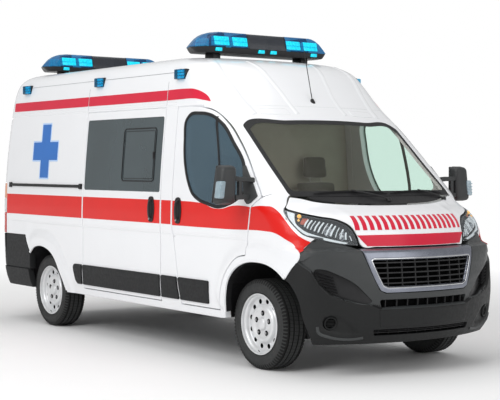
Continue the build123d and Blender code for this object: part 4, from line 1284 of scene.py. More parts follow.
piece("red_band_side_right", right_band.flipped(), [RED], "van")
piece("red_band_side_left", band["wall"], [RED], "van")

STRIPE_LOW, STRIPE_HIGH = 2134, 2222
stripe = Shape()
film(stripe, flank, path([
    (1645, 2106, 2), (1700, 2156), (1790, 2202), (1862, 2219), (1930, STRIPE_HIGH),
    (SLIDE[0] - 7, STRIPE_HIGH, 3), (SLIDE[0] - 7, STRIPE_LOW, 3), (2000, 2137), (1885, 2138),
    (1790, 2133), (1711, 2120)], 14), 0, 26, 2.4)
film(stripe, flank, rectangle(SLIDE[0] + 7, SLIDE[1] - 7, STRIPE_LOW, STRIPE_HIGH), 0, 26, 2.4)
film(stripe, flank, rectangle(SLIDE[1] + 7, 5236, STRIPE_LOW, STRIPE_HIGH, 8), 0, 26, 2.4)
both("upper_stripe", stripe, [CRIMSON], VAN)

nose_film = Shape()
film(nose_film, front, path(doubled(
    [(0, 1064)] + face_way([(300, 1064), (543, 1062, 3), (476, 981, 3), (300, 979)]) + [(0, 978)]
), 16), 0, 18, 1.8, bonnet_dents)
bars = Shape()
BAR_COUNT, BAR_PITCH, BAR_WIDTH, BAR_SLANT = 18, 61, 35, 20
for k in range(BAR_COUNT):
    left = (k - (BAR_COUNT - 1) / 2) * BAR_PITCH - BAR_WIDTH / 2 - BAR_SLANT / 2
    corners = [(left, 1100, 2), (left + BAR_SLANT, 1204, 2),
               (left + BAR_SLANT + BAR_WIDTH, 1204, 2), (left + BAR_WIDTH, 1100, 2)]
    film(bars, front, on_front(corners, 20), 0, 18, 1.8, bonnet_dents)
piece("bonnet_band", nose_film, [CRIMSON], "bonnet")
piece("bonnet_bars", bars, [CRIMSON], "bonnet")

CROSS_MIDDLE, CROSS_ARM, CROSS_HALF = (4460, 1722), 262, 88


def cross_outline(arm, half, radius):
    s, z = CROSS_MIDDLE
    corners = [(-half, -arm), (-half, -half), (-arm, -half), (-arm, half), (-half, half),
               (-half, arm), (half, arm), (half, half), (arm, half), (arm, -half), (half, -half),
               (half, -arm)]
    return path([(s + a, z + b, radius) for a, b in corners])


emblem = film(Shape(), flank, cross_outline(CROSS_ARM, CROSS_HALF, 8), 0, 60, 2.6)
film(emblem, flank, cross_outline(CROSS_ARM + 15, CROSS_HALF + 15, 12), 1, 60, 1.4)
both("blue_cross", emblem, [BLUE_FILM, PALE_FILM], VAN)

# ---------------------------------------------------------------- window rubbers, borders and bars

RUBBER_SECTION = [(-13, -4), (-13, 1), (-9, 3.5), (9, 3.5), (13, 1), (13, -4)]
for name, domain, loop, bodies in (
        ("cab_window_rubber", flank, window_loop, DOORS),
        ("rear_window_rubber", back, rear_window, LEAVES)):
    ring = Shape().add(*bead(domain, loop, RUBBER_SECTION))
    both(name, ring, [RUBBER], bodies)
ring = Shape().add(*bead(back, left_loop, RUBBER_SECTION))
piece("side_window_rubber", ring, [RUBBER], "van")

frit = Shape()
frit_edge = on_front(doubled([(0, 1926), (420, 1918), (752, 1896), (784, 1872, 24),
                              (799, 1386, 30)]), 26)
panel(frit, front, [grown(screen_loop, 5), frit_edge], 2.6, 4.6, 0, 40)
piece("windscreen_border", frit, [RUBBER], "van")

# slanted bar of the fixed quarter light in each cab door
divider = Shape().add(*bead(flank, [(1505, 1978), (1478, 1920), (1440, 1840), (1413, 1745),
                                    (1386, 1625), (1366, 1529), (1350, 1420), (1340, 1262)],
                            [(-11, -3), (-11, 0), (-8, 2), (8, 2), (11, 0), (11, -16), (-11, -16)],
                            False))
both("quarter_light_bar", divider, [RUBBER], DOORS)

# the sliding door's pane has a smaller window let into it, with its frame and a catch
INSET = path([(2375, 1445, 34), (2375, 1905, 34), (2925, 1905, 34), (2925, 1445, 34)])
inset_frame = Shape().add(*bead(flank, INSET, [(-4.5, -6), (-4.5, 0.5), (-2.5, 2), (2.5, 2),
                                               (4.5, 0.5), (4.5, -6)]))
inset_frame.add(*bead(flank, grown(INSET, -22), [(-2, -6), (-2, -1), (2, -1), (2, -6)]))
catch = put(flank, [(2396, 1670)], GLASS_OUT)[0]
inset_frame.add(*block(catch - (2, 11, 30), catch + (10, 11, 30), 4, 2))
piece("inset_window_frame", inset_frame.flipped(), [RUBBER], "van")

# ---------------------------------------------------------------- headlamps

LAMP_LOOP = path(nose_way([
    (200, 984, 8), (222, 1056), (267, 1126), (319, 1164), (406, 1193), (505, 1222), (612, 1250, 8),
    (537, 1190), (456, 1118), (400, 1068), (345, 1039), (289, 1009), (235, 989)]), 12)
lamp_lens = panel(Shape(), front, [grown(LAMP_LOOP, -3)], 0, 4, 1.5, 18, hold=2)
lamp_wall = panel(Shape(), front, [grown(LAMP_LOOP, -4), grown(LAMP_LOOP, -9)], 4.5, 60, 0, 18)
# pale rear tip and chin that frame the reflectors
PALE = path(nose_way([
    (600, 1243, 4), (560, 1233), (520, 1221, 5), (488, 1180), (462, 1146), (430, 1118), (396, 1092),
    (345, 1064), (289, 1034), (232, 1006, 4), (240, 996, 4), (289, 1014), (345, 1044),
    (400, 1074), (456, 1124), (537, 1194)]), 12)
pale_trim = panel(Shape(), front, [PALE], 8, 20, 1.2, 18, hold=0.8)
lamp_back = panel(Shape(), front, [grown(LAMP_LOOP, -8)], 56, 60, 0, 24)


def on_nose(s, z, depth):
    """Place behind the surface of the left headlamp, from its station and height."""
    return put(front, [(at_one(u_at, s, z), z)], depth)[0]


def bowl(shape, centre, radius, deep):
    """Chrome reflector that opens forwards."""
    wall = 2.5
    curve = [(-deep * (1 - (r / radius) ** 2), r) for r in np.linspace(0, radius, 8)[1:]]
    outer_side = [(a + wall * 1.2, r) for a, r in curve]
    profile = ([(-deep, 0)] + curve + [(2, radius + 3)] + outer_side[::-1] + [(-deep + wall, 0)])
    loop = [(-a, r) for a, r in profile]
    shape.add(*lathe(loop, centre, "y", 32))


reflectors = Shape()
for s, z, radius in ((256, 1054, 30), (312, 1092, 36)):
    bowl(reflectors, on_nose(s, z, 20), radius, 26)
# upright fins of the reflector field over the dark housing, in pale plastic whose brightness is
# painted highlight
for k, s in enumerate(np.linspace(232, 418, 12)):
    low = np.interp(s, (200, 235, 289, 345, 400, 456), (1012, 1022, 1050, 1082, 1114, 1156))
    high = np.interp(s, (222, 267, 319, 406, 505), (1044, 1106, 1144, 1172, 1200))
    line = smooth_line([on_nose(s + dx, z, depth) for dx, z, depth in (
        (-7, low, 15), (-2, low * 0.5 + high * 0.5, 15), (5, high, 13))], 8)
    reflectors.add(*tube(line, 6.4 if k % 3 else 3.6, 8), 1)
bulbs = Shape()
for s, z, radius in ((256, 1054, 9), (312, 1092, 11)):
    p = on_nose(s, z, 24)
    bulbs.add(*lathe([(-16, 0), (-14, radius * 0.6), (-6, radius), (12, radius), (12, 0)], p,
                     "y", 16))
amber = Shape()
for s, z, radius in ((480, 1200, 17), (462, 1172, 10)):
    p = on_nose(s, z, 16)
    amber.add(*lathe([(-radius, 0), (-radius * 0.7, radius * 0.7), (0, radius),
                      (radius * 0.6, radius * 0.8), (radius, 0)], p, "y", 18))
AMBER_CELL = path(nose_way([(452, 1186, 6), (424, 1184, 6), (418, 1140, 6), (436, 1142)]), 10)
amber_cell = panel(Shape(), front, [AMBER_CELL], 34, 40, 1, 14, hold=1)
both("headlamp_lens", lamp_lens, [LENS], VAN)
both("headlamp_housing", lamp_wall.join(lamp_back), [LAMP_GREY], VAN)
both("headlamp_trim", pale_trim, [PALE_TRIM_AND_GLINT], VAN)
both("headlamp_reflectors", reflectors, [REFLECTOR, PALE_TRIM_AND_GLINT], VAN)
both("headlamp_bulbs", bulbs, [MILK_LENS], VAN)
both("headlamp_indicator", amber, [AMBER], VAN)
both("headlamp_indicator_cell", amber_cell, [INDICATOR_RED], VAN)
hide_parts("headlamps")

# ---------------------------------------------------------------- grille and the openings below


def contour_line(z, half, count=41):
    """Points across the nose at one height, out to x = half on both sides."""
    edge = at_one(u_of_x, half, z)
    return np.column_stack([np.linspace(-edge, edge, count), np.full(count, float(z))])


def bar_section(depth, thick_, deep):
    """Section of a bar whose face lies at a depth, with eased edges."""
    return [(-thick_, -depth - deep), (-thick_, -depth - 2), (-thick_ + 2, -depth),
            (thick_ - 2, -depth), (thick_, -depth - 2), (thick_, -depth - deep)]


def bar_across(shape, z, half, *sizes):
    shape.add(*bead(front, contour_line(z, half), bar_section(*sizes), False))


def post_up(shape, x, low, high, *sizes):
    z = np.linspace(low, high, 8)
    line = np.column_stack([u_of_x(np.full(8, float(x)), z), z])
    shape.add(*bead(front, line, bar_section(*sizes), False))


def hole_half(z):
    return float(np.interp(z, (675, 690, 800, 889), (384, 422, 470, 506)))


grille = Shape()
GRILLE_BARS = np.linspace(708, 862, 5)
for z in GRILLE_BARS:
    bar_across(grille, z, hole_half(z) + 4, 14, 5.5, 24)
for k in range(7):
    share = (k - 3) / 3.55
    post_up(grille, share * 440, 672, 892, 16, 4.5, 20)
# the sheet behind the bars is painted shade, standing for the dark inside the opening
panel(grille, front, [grown(hole_loop, 4)], 54, 59, 0, 40, 1)
piece("grille_bars", grille, [BLACK, HOLE_SHADE], "van", ["grille"])

lower = Shape()
for k in range(9):
    post_up(lower, (k - 4) * 98, 524, 592, 28, 4, 22)
# the sheet behind the slot is painted shade, standing for the dark inside it
panel(lower, front, [grown(on_front(SLOT, 30), 4)], 54, 59, 0, 40, 1)
for z in (333, 347):
    bar_across(lower, z, 476, 12, 2.6, 20)
for k in range(11):
    post_up(lower, (k - 5) * 86, 316, 364, 18, 3, 12)
# painted shade behind the lower slot
panel(lower, front, [grown(on_front(LOWER_SLOT, 30), 4)], 42, 48, 0, 40, 1)
# louvres at the outer ends of the scoops
for way in (1, -1):
    for k in range(6):
        x_out, z_out = 902 - k * 13, 792 - k * 25
        line = np.array([(x, z_out - (x_out - x) * 0.3)
                         for x in np.linspace(x_out, x_out - 120 + k * 7, 9)])
        u = u_of_x(line[:, 0], line[:, 1]) * way
        lower.add(*bead(front, np.column_stack([u, line[:, 1]]), [
            (-3, -60), (-3, -30), (0, -26), (3, -30), (3, -60)], False))
piece("bumper_openings", lower, [BLACK, HOLE_SHADE], "van", ())

# plain panel for the number plate
plate = Shape()
PLATE = path(doubled([(452, 508, 8), (436, 382, 8)]))
plate_loop = np.column_stack([u_of_x(PLATE[:, 0], PLATE[:, 1]), PLATE[:, 1]])
panel(plate, front, [plate_loop], -3, 2, 3, 40)
piece("plate_panel", plate, [LOWER_BUMPER_SHADE], "van", ())

# fog lamps: ring, louvred cup
fog = Shape()
fog_u = at_one(u_of_x, FOG_X, FOG_Z)
ring_line = [(fog_u + 43 * cos(a), FOG_Z + 43 * sin(a)) for a in np.linspace(0, 2 * pi, 37)[:-1]]
fog.add(*bead(front, ring_line, [(-6, -30), (-6, -10), (-3, -5), (3, -5), (6, -10), (6, -30)]))
cup = [(fog_u + 40 * cos(a), FOG_Z + 40 * sin(a)) for a in np.linspace(0, 2 * pi, 33)[:-1]]
# the cup behind the louvres is painted shade
panel(fog, front, [np.array(cup)], 32, 38, 0, 20, 1)
for dz in (-22, -11, 0, 11, 22):
    reach = (36 ** 2 - dz ** 2) ** 0.5
    line = [(fog_u + t, FOG_Z + dz) for t in np.linspace(-reach, reach, 7)]
    fog.add(*bead(front, line, [(-2.5, -28), (-2.5, -14), (0, -12), (2.5, -14), (2.5, -28)], False))
both("fog_lamp", fog, [LOWER_BUMPER_SHADE, HOLE_SHADE], VAN)
# raised lip that runs from the fog lamp along the bottom of the bumper
lip = Shape()
lip_line = path([(884, 396), (872, 352), (800, 316), (700, 296), (620, 294), (540, 306)], 14)
lip_line = lip_line[:int(np.argmax(lip_line[:, 0] < 545))]
u = u_of_x(lip_line[:, 0], lip_line[:, 1])
lip.add(*bead(front, np.column_stack([u, lip_line[:, 1]]),
              [(-16, -6), (-9, 4), (0, 8), (9, 4), (16, -6)], False))
both("bumper_lip", lip, [BUMPER], VAN)

# ---------------------------------------------------------------- repeated details


def ring_tree(name, template, material):
    """Geometry Nodes tree: copies of a template round the X axis; count, radius and place."""
    tree = bpy.data.node_groups.new(name, "GeometryNodeTree")
    face = tree.interface
    face.new_socket("Geometry", in_out="OUTPUT", socket_type="NodeSocketGeometry")
    for label, kind, value in (("Count", "Int", 12), ("Radius", "Float", 0.1),
                               ("Offset", "Float", 0.0), ("Turn", "Float", 0.0)):
        socket = face.new_socket(label, in_out="INPUT", socket_type="NodeSocket" + kind)
        socket.default_value = value

    def maths(operation, a, b=None):
        inputs = {0: a} if b is None else {0: a, 1: b}
        return wired(tree, "ShaderNodeMath", inputs, operation=operation).outputs[0]

    given = wired(tree, "NodeGroupInput").outputs
    circle = wired(tree, "GeometryNodeMeshCircle", {"Radius": 1.0, "Vertices": given["Count"]})
    source = wired(tree, "GeometryNodeObjectInfo", {"Object": template})
    spot = wired(tree, "GeometryNodeInputPosition")
    split = wired(tree, "ShaderNodeSeparateXYZ", {"Vector": spot.outputs["Position"]})
    total = maths("ADD", maths("ARCTAN2", split.outputs["Y"], split.outputs["X"]), given["Turn"])
    join = wired(tree, "ShaderNodeCombineXYZ", {
        "X": given["Offset"], "Y": maths("MULTIPLY", maths("COSINE", total), given["Radius"]),
        "Z": maths("MULTIPLY", maths("SINE", total), given["Radius"])})
    kept = wired(tree, "GeometryNodeStoreNamedAttribute", {
        "Name": "turn", "Geometry": circle.outputs["Mesh"], "Value": total}, data_type="FLOAT")
    place = wired(tree, "GeometryNodeSetPosition", {
        "Geometry": kept.outputs["Geometry"], "Position": join.outputs["Vector"]})
    read = wired(tree, "GeometryNodeInputNamedAttribute", {"Name": "turn"}, data_type="FLOAT")
    spin = wired(tree, "ShaderNodeCombineXYZ", {"X": read.outputs["Attribute"]})
    copies = wired(tree, "GeometryNodeInstanceOnPoints", {
        "Points": place.outputs["Geometry"], "Instance": source.outputs["Geometry"],
        "Rotation": spin.outputs["Vector"]})
    real = wired(tree, "GeometryNodeRealizeInstances", {"Geometry": copies.outputs["Instances"]})
    finish = wired(tree, "GeometryNodeSetMaterial", {
        "Geometry": real.outputs["Geometry"], "Material": material})
    wired(tree, "NodeGroupOutput", {"Geometry": finish.outputs["Geometry"]})
    return tree


def raw_object(name, shape):
    """Helper mesh in metres that only Geometry Nodes read."""
    mesh = bpy.data.meshes.new(name)
    points = np.vstack(shape.points) * 0.001
    mesh.from_pydata(points.tolist(), [], shape.faces)
    thing = bpy.data.objects.new(name, mesh)
    bpy.context.scene.collection.objects.link(thing)
    return thing


def repeated(name, template_shape, material, body, centre, slot, **inputs):
    """Plain mesh of copies in a ring, placed at centre (x, station, height)."""
    template = raw_object(name + "_template", template_shape)
    tree = ring_tree(name + "_tree", template, material)
    mesh = bpy.data.meshes.new(name + "_seed")
    carrier = bpy.data.objects.new(name + "_seed", mesh)
    bpy.context.scene.collection.objects.link(carrier)
    modifier = carrier.modifiers.new("copies", "NODES")
    modifier.node_group = tree
    for item in tree.interface.items_tree:
        if item.in_out == "INPUT" and item.name in inputs:
            modifier[item.identifier] = inputs[item.name]
    bpy.context.view_layer.update()
    ready = carrier.evaluated_get(bpy.context.evaluated_depsgraph_get())
    result = bpy.data.meshes.new_from_object(ready)
    carrier.modifiers.remove(modifier)
    for helper in (carrier, template):
        old = helper.data
        bpy.data.objects.remove(helper)
        bpy.data.meshes.remove(old)
    result.name = name
    offset = Vector(centre) / 1000 - Vector((0, LENGTH / 2000, 0))
    result.transform(Matrix.Translation(offset))
    for attribute in [a.name for a in result.attributes if a.name == "turn"]:
        result.attributes.remove(result.attributes[attribute])
    result.polygons.foreach_set("use_smooth", [True] * len(result.polygons))
    result.set_sharp_from_angle(angle=radians(35))
    thing = bpy.data.objects.new(name, result)
    bpy.context.scene.collection.objects.link(thing)
    if not result.materials:
        result.materials.append(material)
    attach(thing, body)


# ---------------------------------------------------------------- wheels

AXLE_Z = 352
FRONT_AXLE, REAR_AXLE = 930, 4380
FRONT_WHEEL_X, REAR_WHEEL_X = 830, 875
RIBS = 76                 # shoulder ribs and cross cuts round each tyre
GROOVES = (-66, -24, 24, 66)
tread = [(-104, 302), (-103, 318), (-99, 330), (-92, 341), (-84, 347)]
for groove in GROOVES:
    tread += [(groove - 5, 351.2), (groove - 4, 343), (groove + 4, 343), (groove + 5, 351.2)]
tread += [(84, 347), (92, 341), (99, 330), (103, 318), (104, 302)]
SIDEWALL = [(107, 292), (107.3, 284), (104, 270), (103.2, 266), (104.4, 263), (103, 255),
            (98, 247), (91, 241), (88, 237), (86, 226)]
TYRE_RING = (tread + SIDEWALL + [(-a, r) for a, r in SIDEWALL[::-1]])


def tyre_shape(x, station):
    shape = Shape()
    shape.add(*lathe(TYRE_RING, (x, station, AXLE_Z), "x", 96))
    # faces under the shoulder ribs and in the grooves take the darker rubber, which paints their
    # shade
    for k, face in enumerate(shape.faces):
        middle = np.mean([shape.points[0][i] for i in face], axis=0)
        radius = np.hypot(middle[1] - station, middle[2] - AXLE_Z)
        shape.marks[k] = int(312 < radius < 346 or 342 < radius < 350.5
                             and abs(middle[0] - x) < 80)
    return shape


def rim_shape(x, station, way):
    """Pressed steel wheel: double lip, recessed vented ring, raised bolt circle and cap."""
    rim = [(101, 238.5), (103.5, 236), (103, 230), (97, 226.5), (82, 225), (78, 219), (74, 212),
           (60, 208), (50, 205), (45, 201), (43.5, 196), (43.5, 160), (47, 155), (58, 150),
           (69, 144), (74, 134), (75, 122), (73, 114), (66, 107), (64, 100), (64, 62),
           (66, 52), (78, 48), (84, 44), (86, 36), (88, 18), (88.5, 0),
           (50, 0), (50, 40), (50, 140), (36, 160), (34, 206), (-90, 212), (-101, 226),
           (-103, 238), (-97, 238.5), (-92, 232), (-84, 230), (80, 230), (90, 232), (97, 238)]
    shape = Shape()
    ring = [(way * offset, radius) for offset, radius in rim]
    shape.add(*lathe(ring, (x, station, AXLE_Z), "x", 96))
    return shape


def bolt_shape(way):
    """Steel bolt head with a chamfer, standing over a disc of painted shade in its well."""
    head = [(way * -2, 0), (way * -2, 10.5), (way * 10, 10), (way * 12, 7.5), (way * 12, 0)]
    return Shape().add(*lathe(head, (0, 0, 0), "x", 6))


def well_shape(radius, out):
    """Flat disc in painted shade that reads as a hole."""
    disc = [(out * -4, 0), (out * -4, radius), (out * 0.8, radius), (out * 1.2, radius - 1.5),
            (out * 1.2, 0)]
    return Shape().add(*lathe(disc, (0, 0, 0), "x", 20))


def collar_shape(radius, out):
    """Rolled edge round a hole."""
    ring = [(out * -3, radius + 3), (out * 1.5, radius + 3.2), (out * 3, radius + 1.4),
            (out * 2.2, radius - 0.6), (out * -3, radius - 0.4)]
    return Shape().add(*lathe(ring, (0, 0, 0), "x", 20))


def prism(outline, half):
    """Bar with a flat outline in x and radius, as wide as twice half."""
    n = len(outline)
    points = [(a, b, half) for a, b in outline] + [(a, b, -half) for a, b in outline]
    faces = [tuple(range(n)), tuple(range(2 * n - 1, n - 1, -1))]
    faces += [((k + 1) % n, k, n + k, n + (k + 1) % n) for k in range(n)]
    return points, faces


RIB_R = 333


def rib_shape():
    """Raised shoulder ribs of the tyre, one on each side."""
    edge = [(105.4, -22), (105.2, -14), (102.6, -2), (97.4, 6.5), (90.6, 12.6), (84, 16), (80, 12),
            (90, 2), (97, -8), (100, -22)]
    shape = Shape()
    for way in (1, -1):
        shape.add(*prism([(way * a, b) for a, b in edge], 5.2))
    return shape


def cut_shape():
    """Cross cuts between the long grooves of the tread, drawn as thin strips of painted shade."""
    shape = Shape()
    for low, high in ((-82, -71), (-61, -29), (-19, 19), (29, 61), (71, 82)):
        shape.add(*block((low, -4, -1.7), (high, 0.3, 1.7), 0.0, 1,
                         lambda place, share: (place[0], place[1], place[2] + place[0] * 0.12)))
    return shape


WHEELS = (("front_left", FRONT_WHEEL_X, FRONT_AXLE, 1),
          ("front_right", -FRONT_WHEEL_X, FRONT_AXLE, -1),
          ("rear_left", REAR_WHEEL_X, REAR_AXLE, 1),
          ("rear_right", -REAR_WHEEL_X, REAR_AXLE, -1))
for label, x, station, way in WHEELS:
    body = "wheel_" + label
    piece("tyre_carcass_" + label, tyre_shape(x, station), [TYRE, TYRE_SHADE], body, ["tyre_" + label],
          28)
    piece("wheel_disc_" + label, rim_shape(x, station, way), [WHEEL_SILVER], body,
          ["rim_" + label], 50)
    centre = (x, station, AXLE_Z)
    repeated("wheel_bolts_" + label, bolt_shape(way), BARE_STEEL, body, centre,
             "cast_metal", Count=5, Radius=0.084, Offset=way * 0.0665, Turn=pi / 2)
    # discs of painted shade stand for the dark in the bolt wells and the vent holes
    repeated("wheel_bolt_wells_" + label, well_shape(21, way), HOLE_SHADE, body, centre,
             "black_plastic", Count=5, Radius=0.084, Offset=way * 0.0648, Turn=pi / 2)
    repeated("wheel_vents_" + label, well_shape(20.5, way), HOLE_SHADE, body, centre,
             "black_plastic", Count=12, Radius=0.1785, Offset=way * 0.0435, Turn=0.2)
    repeated("wheel_vent_collars_" + label, collar_shape(20.5, way), WHEEL_SILVER, body,
             centre, "wheel_steel", Count=12, Radius=0.1785, Offset=way * 0.0435, Turn=0.2)
    valve = Shape()
    valve.add(*tube(smooth_line([(x + way * out, station, AXLE_Z - down)
                                 for out, down in ((92, 214), (99, 208), (104, 200))], 6), 3.2, 10))
    piece("wheel_valve_" + label, valve, [BLACK], body, ())
    repeated("tread_ribs_" + label, rib_shape(), TYRE, body, centre, "tyre",
             Count=RIBS, Radius=RIB_R / 1000, Offset=0.0, Turn=0.0)
    repeated("tread_cuts_" + label, cut_shape(), TYRE_SHADE, body, centre, "tyre",
             Count=RIBS, Radius=0.3512, Offset=0.0, Turn=0.0)

# ---------------------------------------------------------------- outside fittings

MOULD = (464, 651)


def moulding(left, right):
    """Charcoal rubbing strip with a step along its upper edge; left and right are outlines' ends."""
    shape = Shape()
    outline = path([(left[0], MOULD[0], 16), (left[1], MOULD[1], 16), (right[1], MOULD[1], 16),
                    (right[0], MOULD[0], 16)], 30)

    def step(points):
        return 3.0 / (1 + np.exp((points[:, 1] - 600) / 3)) * (points[:, 1] > 480)

    return panel(shape, flank, [outline], -8, 9, 5, 46, dents=step, rows=(590, 596, 602, 608))


both("cab_door_moulding", moulding((1500, 1500), (1924, 1962)), [MOULDING_MAT], DOORS,
     ("cab_door_trim_left", "cab_door_trim_right"))
fixed_right = Shape()
for ends in (((1946, 1984), (2228, 2228)), ((SLIDE[0] + 11, SLIDE[0] + 11),
                                            (SLIDE[1] - 11, SLIDE[1] - 11))):
    fixed_right.join(moulding(*ends))
panel(fixed_right, flank, [path([(SLIDE[1] + 12, 464, 14), (SLIDE[1] + 12, 651, 14),
                                 (3836, 651, 40), (3775, 492, 30), (3738, 464, 20)], 30)],
      -8, 9, 5, 46)
fixed_left = Shape().join(moulding((1946, 1984), (3560, 3560)))
panel(fixed_left, flank, [path([(3566, 464, 8), (3566, 651, 8),
                                (3836, 651, 40), (3775, 492, 30), (3738, 464, 20)], 30)],
      -8, 9, 5, 46)
piece("side_moulding_right", fixed_right.flipped(), [MOULDING_MAT], "van", ["side_trim"])
piece("side_moulding_left", fixed_left, [MOULDING_MAT], "van", ())


def handle_shape(s):
    """Upright pull handle on its oval plate, with a round lock under the grip."""
    shape = Shape()
    oval = path([(s - 46, 1144), (s - 46, 1268), (s - 30, 1308), (s, 1316), (s + 30, 1308),
                 (s + 46, 1268), (s + 46, 1144), (s + 30, 1104), (s, 1096), (s - 30, 1104)], 14)
    panel(shape, flank, [oval], -6, 3, 4, 24)
    well = grown(oval, -13)
    panel(shape, flank, [oval, well], -9, 1, 3, 24)
    line = put(flank, [(s, z) for z in (1124, 1140, 1170, 1210, 1250, 1276, 1292)])
    out = np.array([2, 20, 26, 28, 26, 20, 2])
    line[:, 0] += out
    line = smooth_line(line, 22)
    across = np.tile([0.0, 1, 0], (len(line), 1))
    grip = [(-16, -4), (-13, -7), (13, -7), (16, -4), (14, 4), (8, 6), (-8, 6), (-14, 4)]
    shape.add(*sweep(line, across, np.tile([1.0, 0, 0], (len(line), 1)), grip))
    lock = put(flank, [(s + 24, 1122)], -7)[0]
    shape.add(*lathe([(-3, 0), (-3, 9), (4, 9), (6, 7), (6, 0)], lock, "x", 20), 1)
    return shape


both("cab_door_handle", handle_shape(1960), [BLACK, BARE_STEEL], DOORS)
piece("sliding_door_handle", handle_shape(2392).flipped(), [BLACK, BARE_STEEL], "van", ())
rail = Shape()
panel(rail, flank, [rectangle(3664, 5206, 1370, 1397, 6)], -14, 2, 3, 60)
panel(rail, flank, [rectangle(3676, 5190, 1380, 1388, 3)], -15.5, -12, 0, 60, 1)
for s in (3676, 5194):
    panel(rail, flank, [rectangle(s - 24, s + 24, 1358, 1408, 6)], -17, 2, 4, 30)
piece("slide_rail", rail.flipped(), [MOULDING_MAT, BLACK], "van", ())

# lips pressed round the wheel openings
arch = Shape()
edge = path([(1276, 380, 0), (1264, 558), (1230, 679), (1145, 771), (1015, 832), (841, 852),
             (685, 838), (558, 794), (478, 744, 0)], 22)
stop = int(np.argmin(np.linalg.norm(edge - (478, 744), axis=1)))
LIP = [(-13, -3), (-10, 7.6), (-2, 10.2), (6, 10.2), (11, 7.6), (13, -3)]
lip_front = edge[:stop + 1]
nose_line = np.column_stack([u_at(lip_front[:, 0], lip_front[:, 1]), lip_front[:, 1]])
arch.add(*bead(front, nose_line[2:], LIP, False))
rear_edge = path(ARCH_REAR, 22)
stop = int(np.argmin(np.linalg.norm(rear_edge - (4742, 709), axis=1)))
arch.add(*bead(flank, rear_edge[1:stop + 1], LIP, False))
arch_wall = Shape()
arch_wall.add(*bead(front, nose_line[2:], [(-0.5, -5), (-0.5, -61), (-4, -61), (-4, -5)], False))
arch_wall.add(*bead(flank, rear_edge[1:stop + 1], [(0.5, -5), (4, -5), (4, -61), (0.5, -61)], False))
both("wheel_arch_lip", arch, [WHITE], VAN)
both("wheel_arch_lining", arch_wall, [LINER_BLACK], VAN)

# shut lines that run from the sliding door up to the side lamps, and the roof joint
seams = Shape()
for s in (SLIDE[0], SLIDE[1]):
    film(seams, flank, rectangle(s - 1.6, s + 1.6, CANT + 6, 2296, 0.8), 0, 24, 0.9)
film(seams, flank, rectangle(2112, 3372, 2368, 2371.5, 1), 0, 30, 1.4)
film(seams, flank, rectangle(3510, 4890, 2368, 2371, 1), 0, 30, 1.2)
gutter = Shape()
for low in (CANT + 14, CANT + 34):
    line = [(s, low) for s in np.linspace(2076, 5240, 70)]
    gutter.add(*bead(flank, line, [(-4, -3), (-3, 0.5), (0, 2.4), (3, 0.5), (4, -3)], False))
# soft ridges over the cab, and the flat pads at their feet
fairing = Shape()
for ridge, width, height in (
        ([(654, 2000), (660, 2050), (673, 2103), (693, 2223), (717, 2362), (700, 2430), (672, 2478)],
         44, 5.5),
        ([(256, 2010), (258, 2090), (264, 2175), (284, 2262), (318, 2395), (335, 2450), (350, 2478)],
         30, 4.0)):
    ridge = smooth_line([(x, 0, z) for x, z in ridge], 40)[:, (0, 2)]
    line = np.column_stack([u_of_x(ridge[:, 0], ridge[:, 1]), ridge[:, 1]])
    fairing.add(*bead(front, line, [(-width, -2), (-width * 0.55, height * 0.35), (0, height),
                                    (width * 0.55, height * 0.35), (width, -2)], False))
foot_pad = on_front([(324, 2006, 16), (332, 2056, 16), (590, 2052, 16), (604, 2002, 16)], 24)
panel(fairing, front, [foot_pad], -5, 2, 4, 26)
both("roof_fairing_ridges", fairing, [WHITE], VAN)
both("roof_seams", seams, [SEAM_GREY], VAN)
both("roof_gutter", gutter, [WHITE], VAN)

# tail lamps round the rear corners
tail = Shape()
for low, high, material in ((884, 1092, 0), (1096, 1238, 1), (1242, 1396, 2)):
    z = (low + high) / 2
    outer_w = at_one(w_at, 5303, z)
    panel(tail, back, [path([(CORNER_X + 5, low, 8), (CORNER_X + 5, high, 8), (outer_w, high, 8),
                             (outer_w, low, 8)], 18)], -5, 50, 5, 24, material)
both("tail_lamp", tail, [RED_LENS, MILK_LENS, AMBER_LENS], VAN)
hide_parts("tail_lamps")

# roof: antenna, side lamps and the light bars
mast_foot, mast_top = np.array((0.0, 1457, 2119)), np.array((0.0, 1578, 2563))
antenna = Shape()
antenna.add(*lathe([(-34, 0), (-34, 28), (-8, 28), (4, 24), (16, 17), (26, 11), (30, 0)],
                   (0, 1462, 2122), "z", 24))
antenna.add(*tube([mast_foot + (mast_top - mast_foot) * t for t in np.linspace(0.02, 1, 12)],
                  3.4, 8))
antenna.add(*lathe([(-10, 0), (-9, 6), (6, 6), (9, 0)], tuple(mast_top - (0, 4, 12)), "z", 12))
for k in range(9):
    p = mast_foot + (mast_top - mast_foot) * (0.1 + 0.012 * k)
    antenna.add(*lathe([(-1.6, 3), (0, 6), (1.6, 3)], tuple(p), "z", 12))
piece("antenna_mast", antenna, [BLACK], "van", ["antenna"])

LAMP_FACE = 984           # outer face of the side lamps
side_lamp, side_lens, side_cell = Shape(), Shape(), Shape()
for s in (2045, 3440, 4955):
    rear = put(flank, [(s, 2348)], 6)[0][0]
    side_lamp.add(*block((rear - 30, s - 60, 2303), (rear + 16, s + 60, 2393), 8, 2))
    side_lamp.add(*block((rear + 10, s + 44, 2306), (LAMP_FACE - 8, s + 61, 2390), 6, 2))
    side_lens.add(*block((rear + 8, s - 58, 2307), (LAMP_FACE, s + 50, 2389), 9, 2))
    for row in (2322, 2348, 2374):
        for column in (s - 36, s - 4, s + 28):
            side_cell.add(*block((rear + 20, column - 13, row - 10),
                                 (rear + 34, column + 13, row + 10), 3, 1))
both("side_lamp_housing", side_lamp, [BLACK], VAN)
both("side_lamp_lens", side_lens, [BOX_BLUE], VAN)
both("side_lamp_cells", side_cell, [BOX_CELL], VAN)
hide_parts("side_lamps")

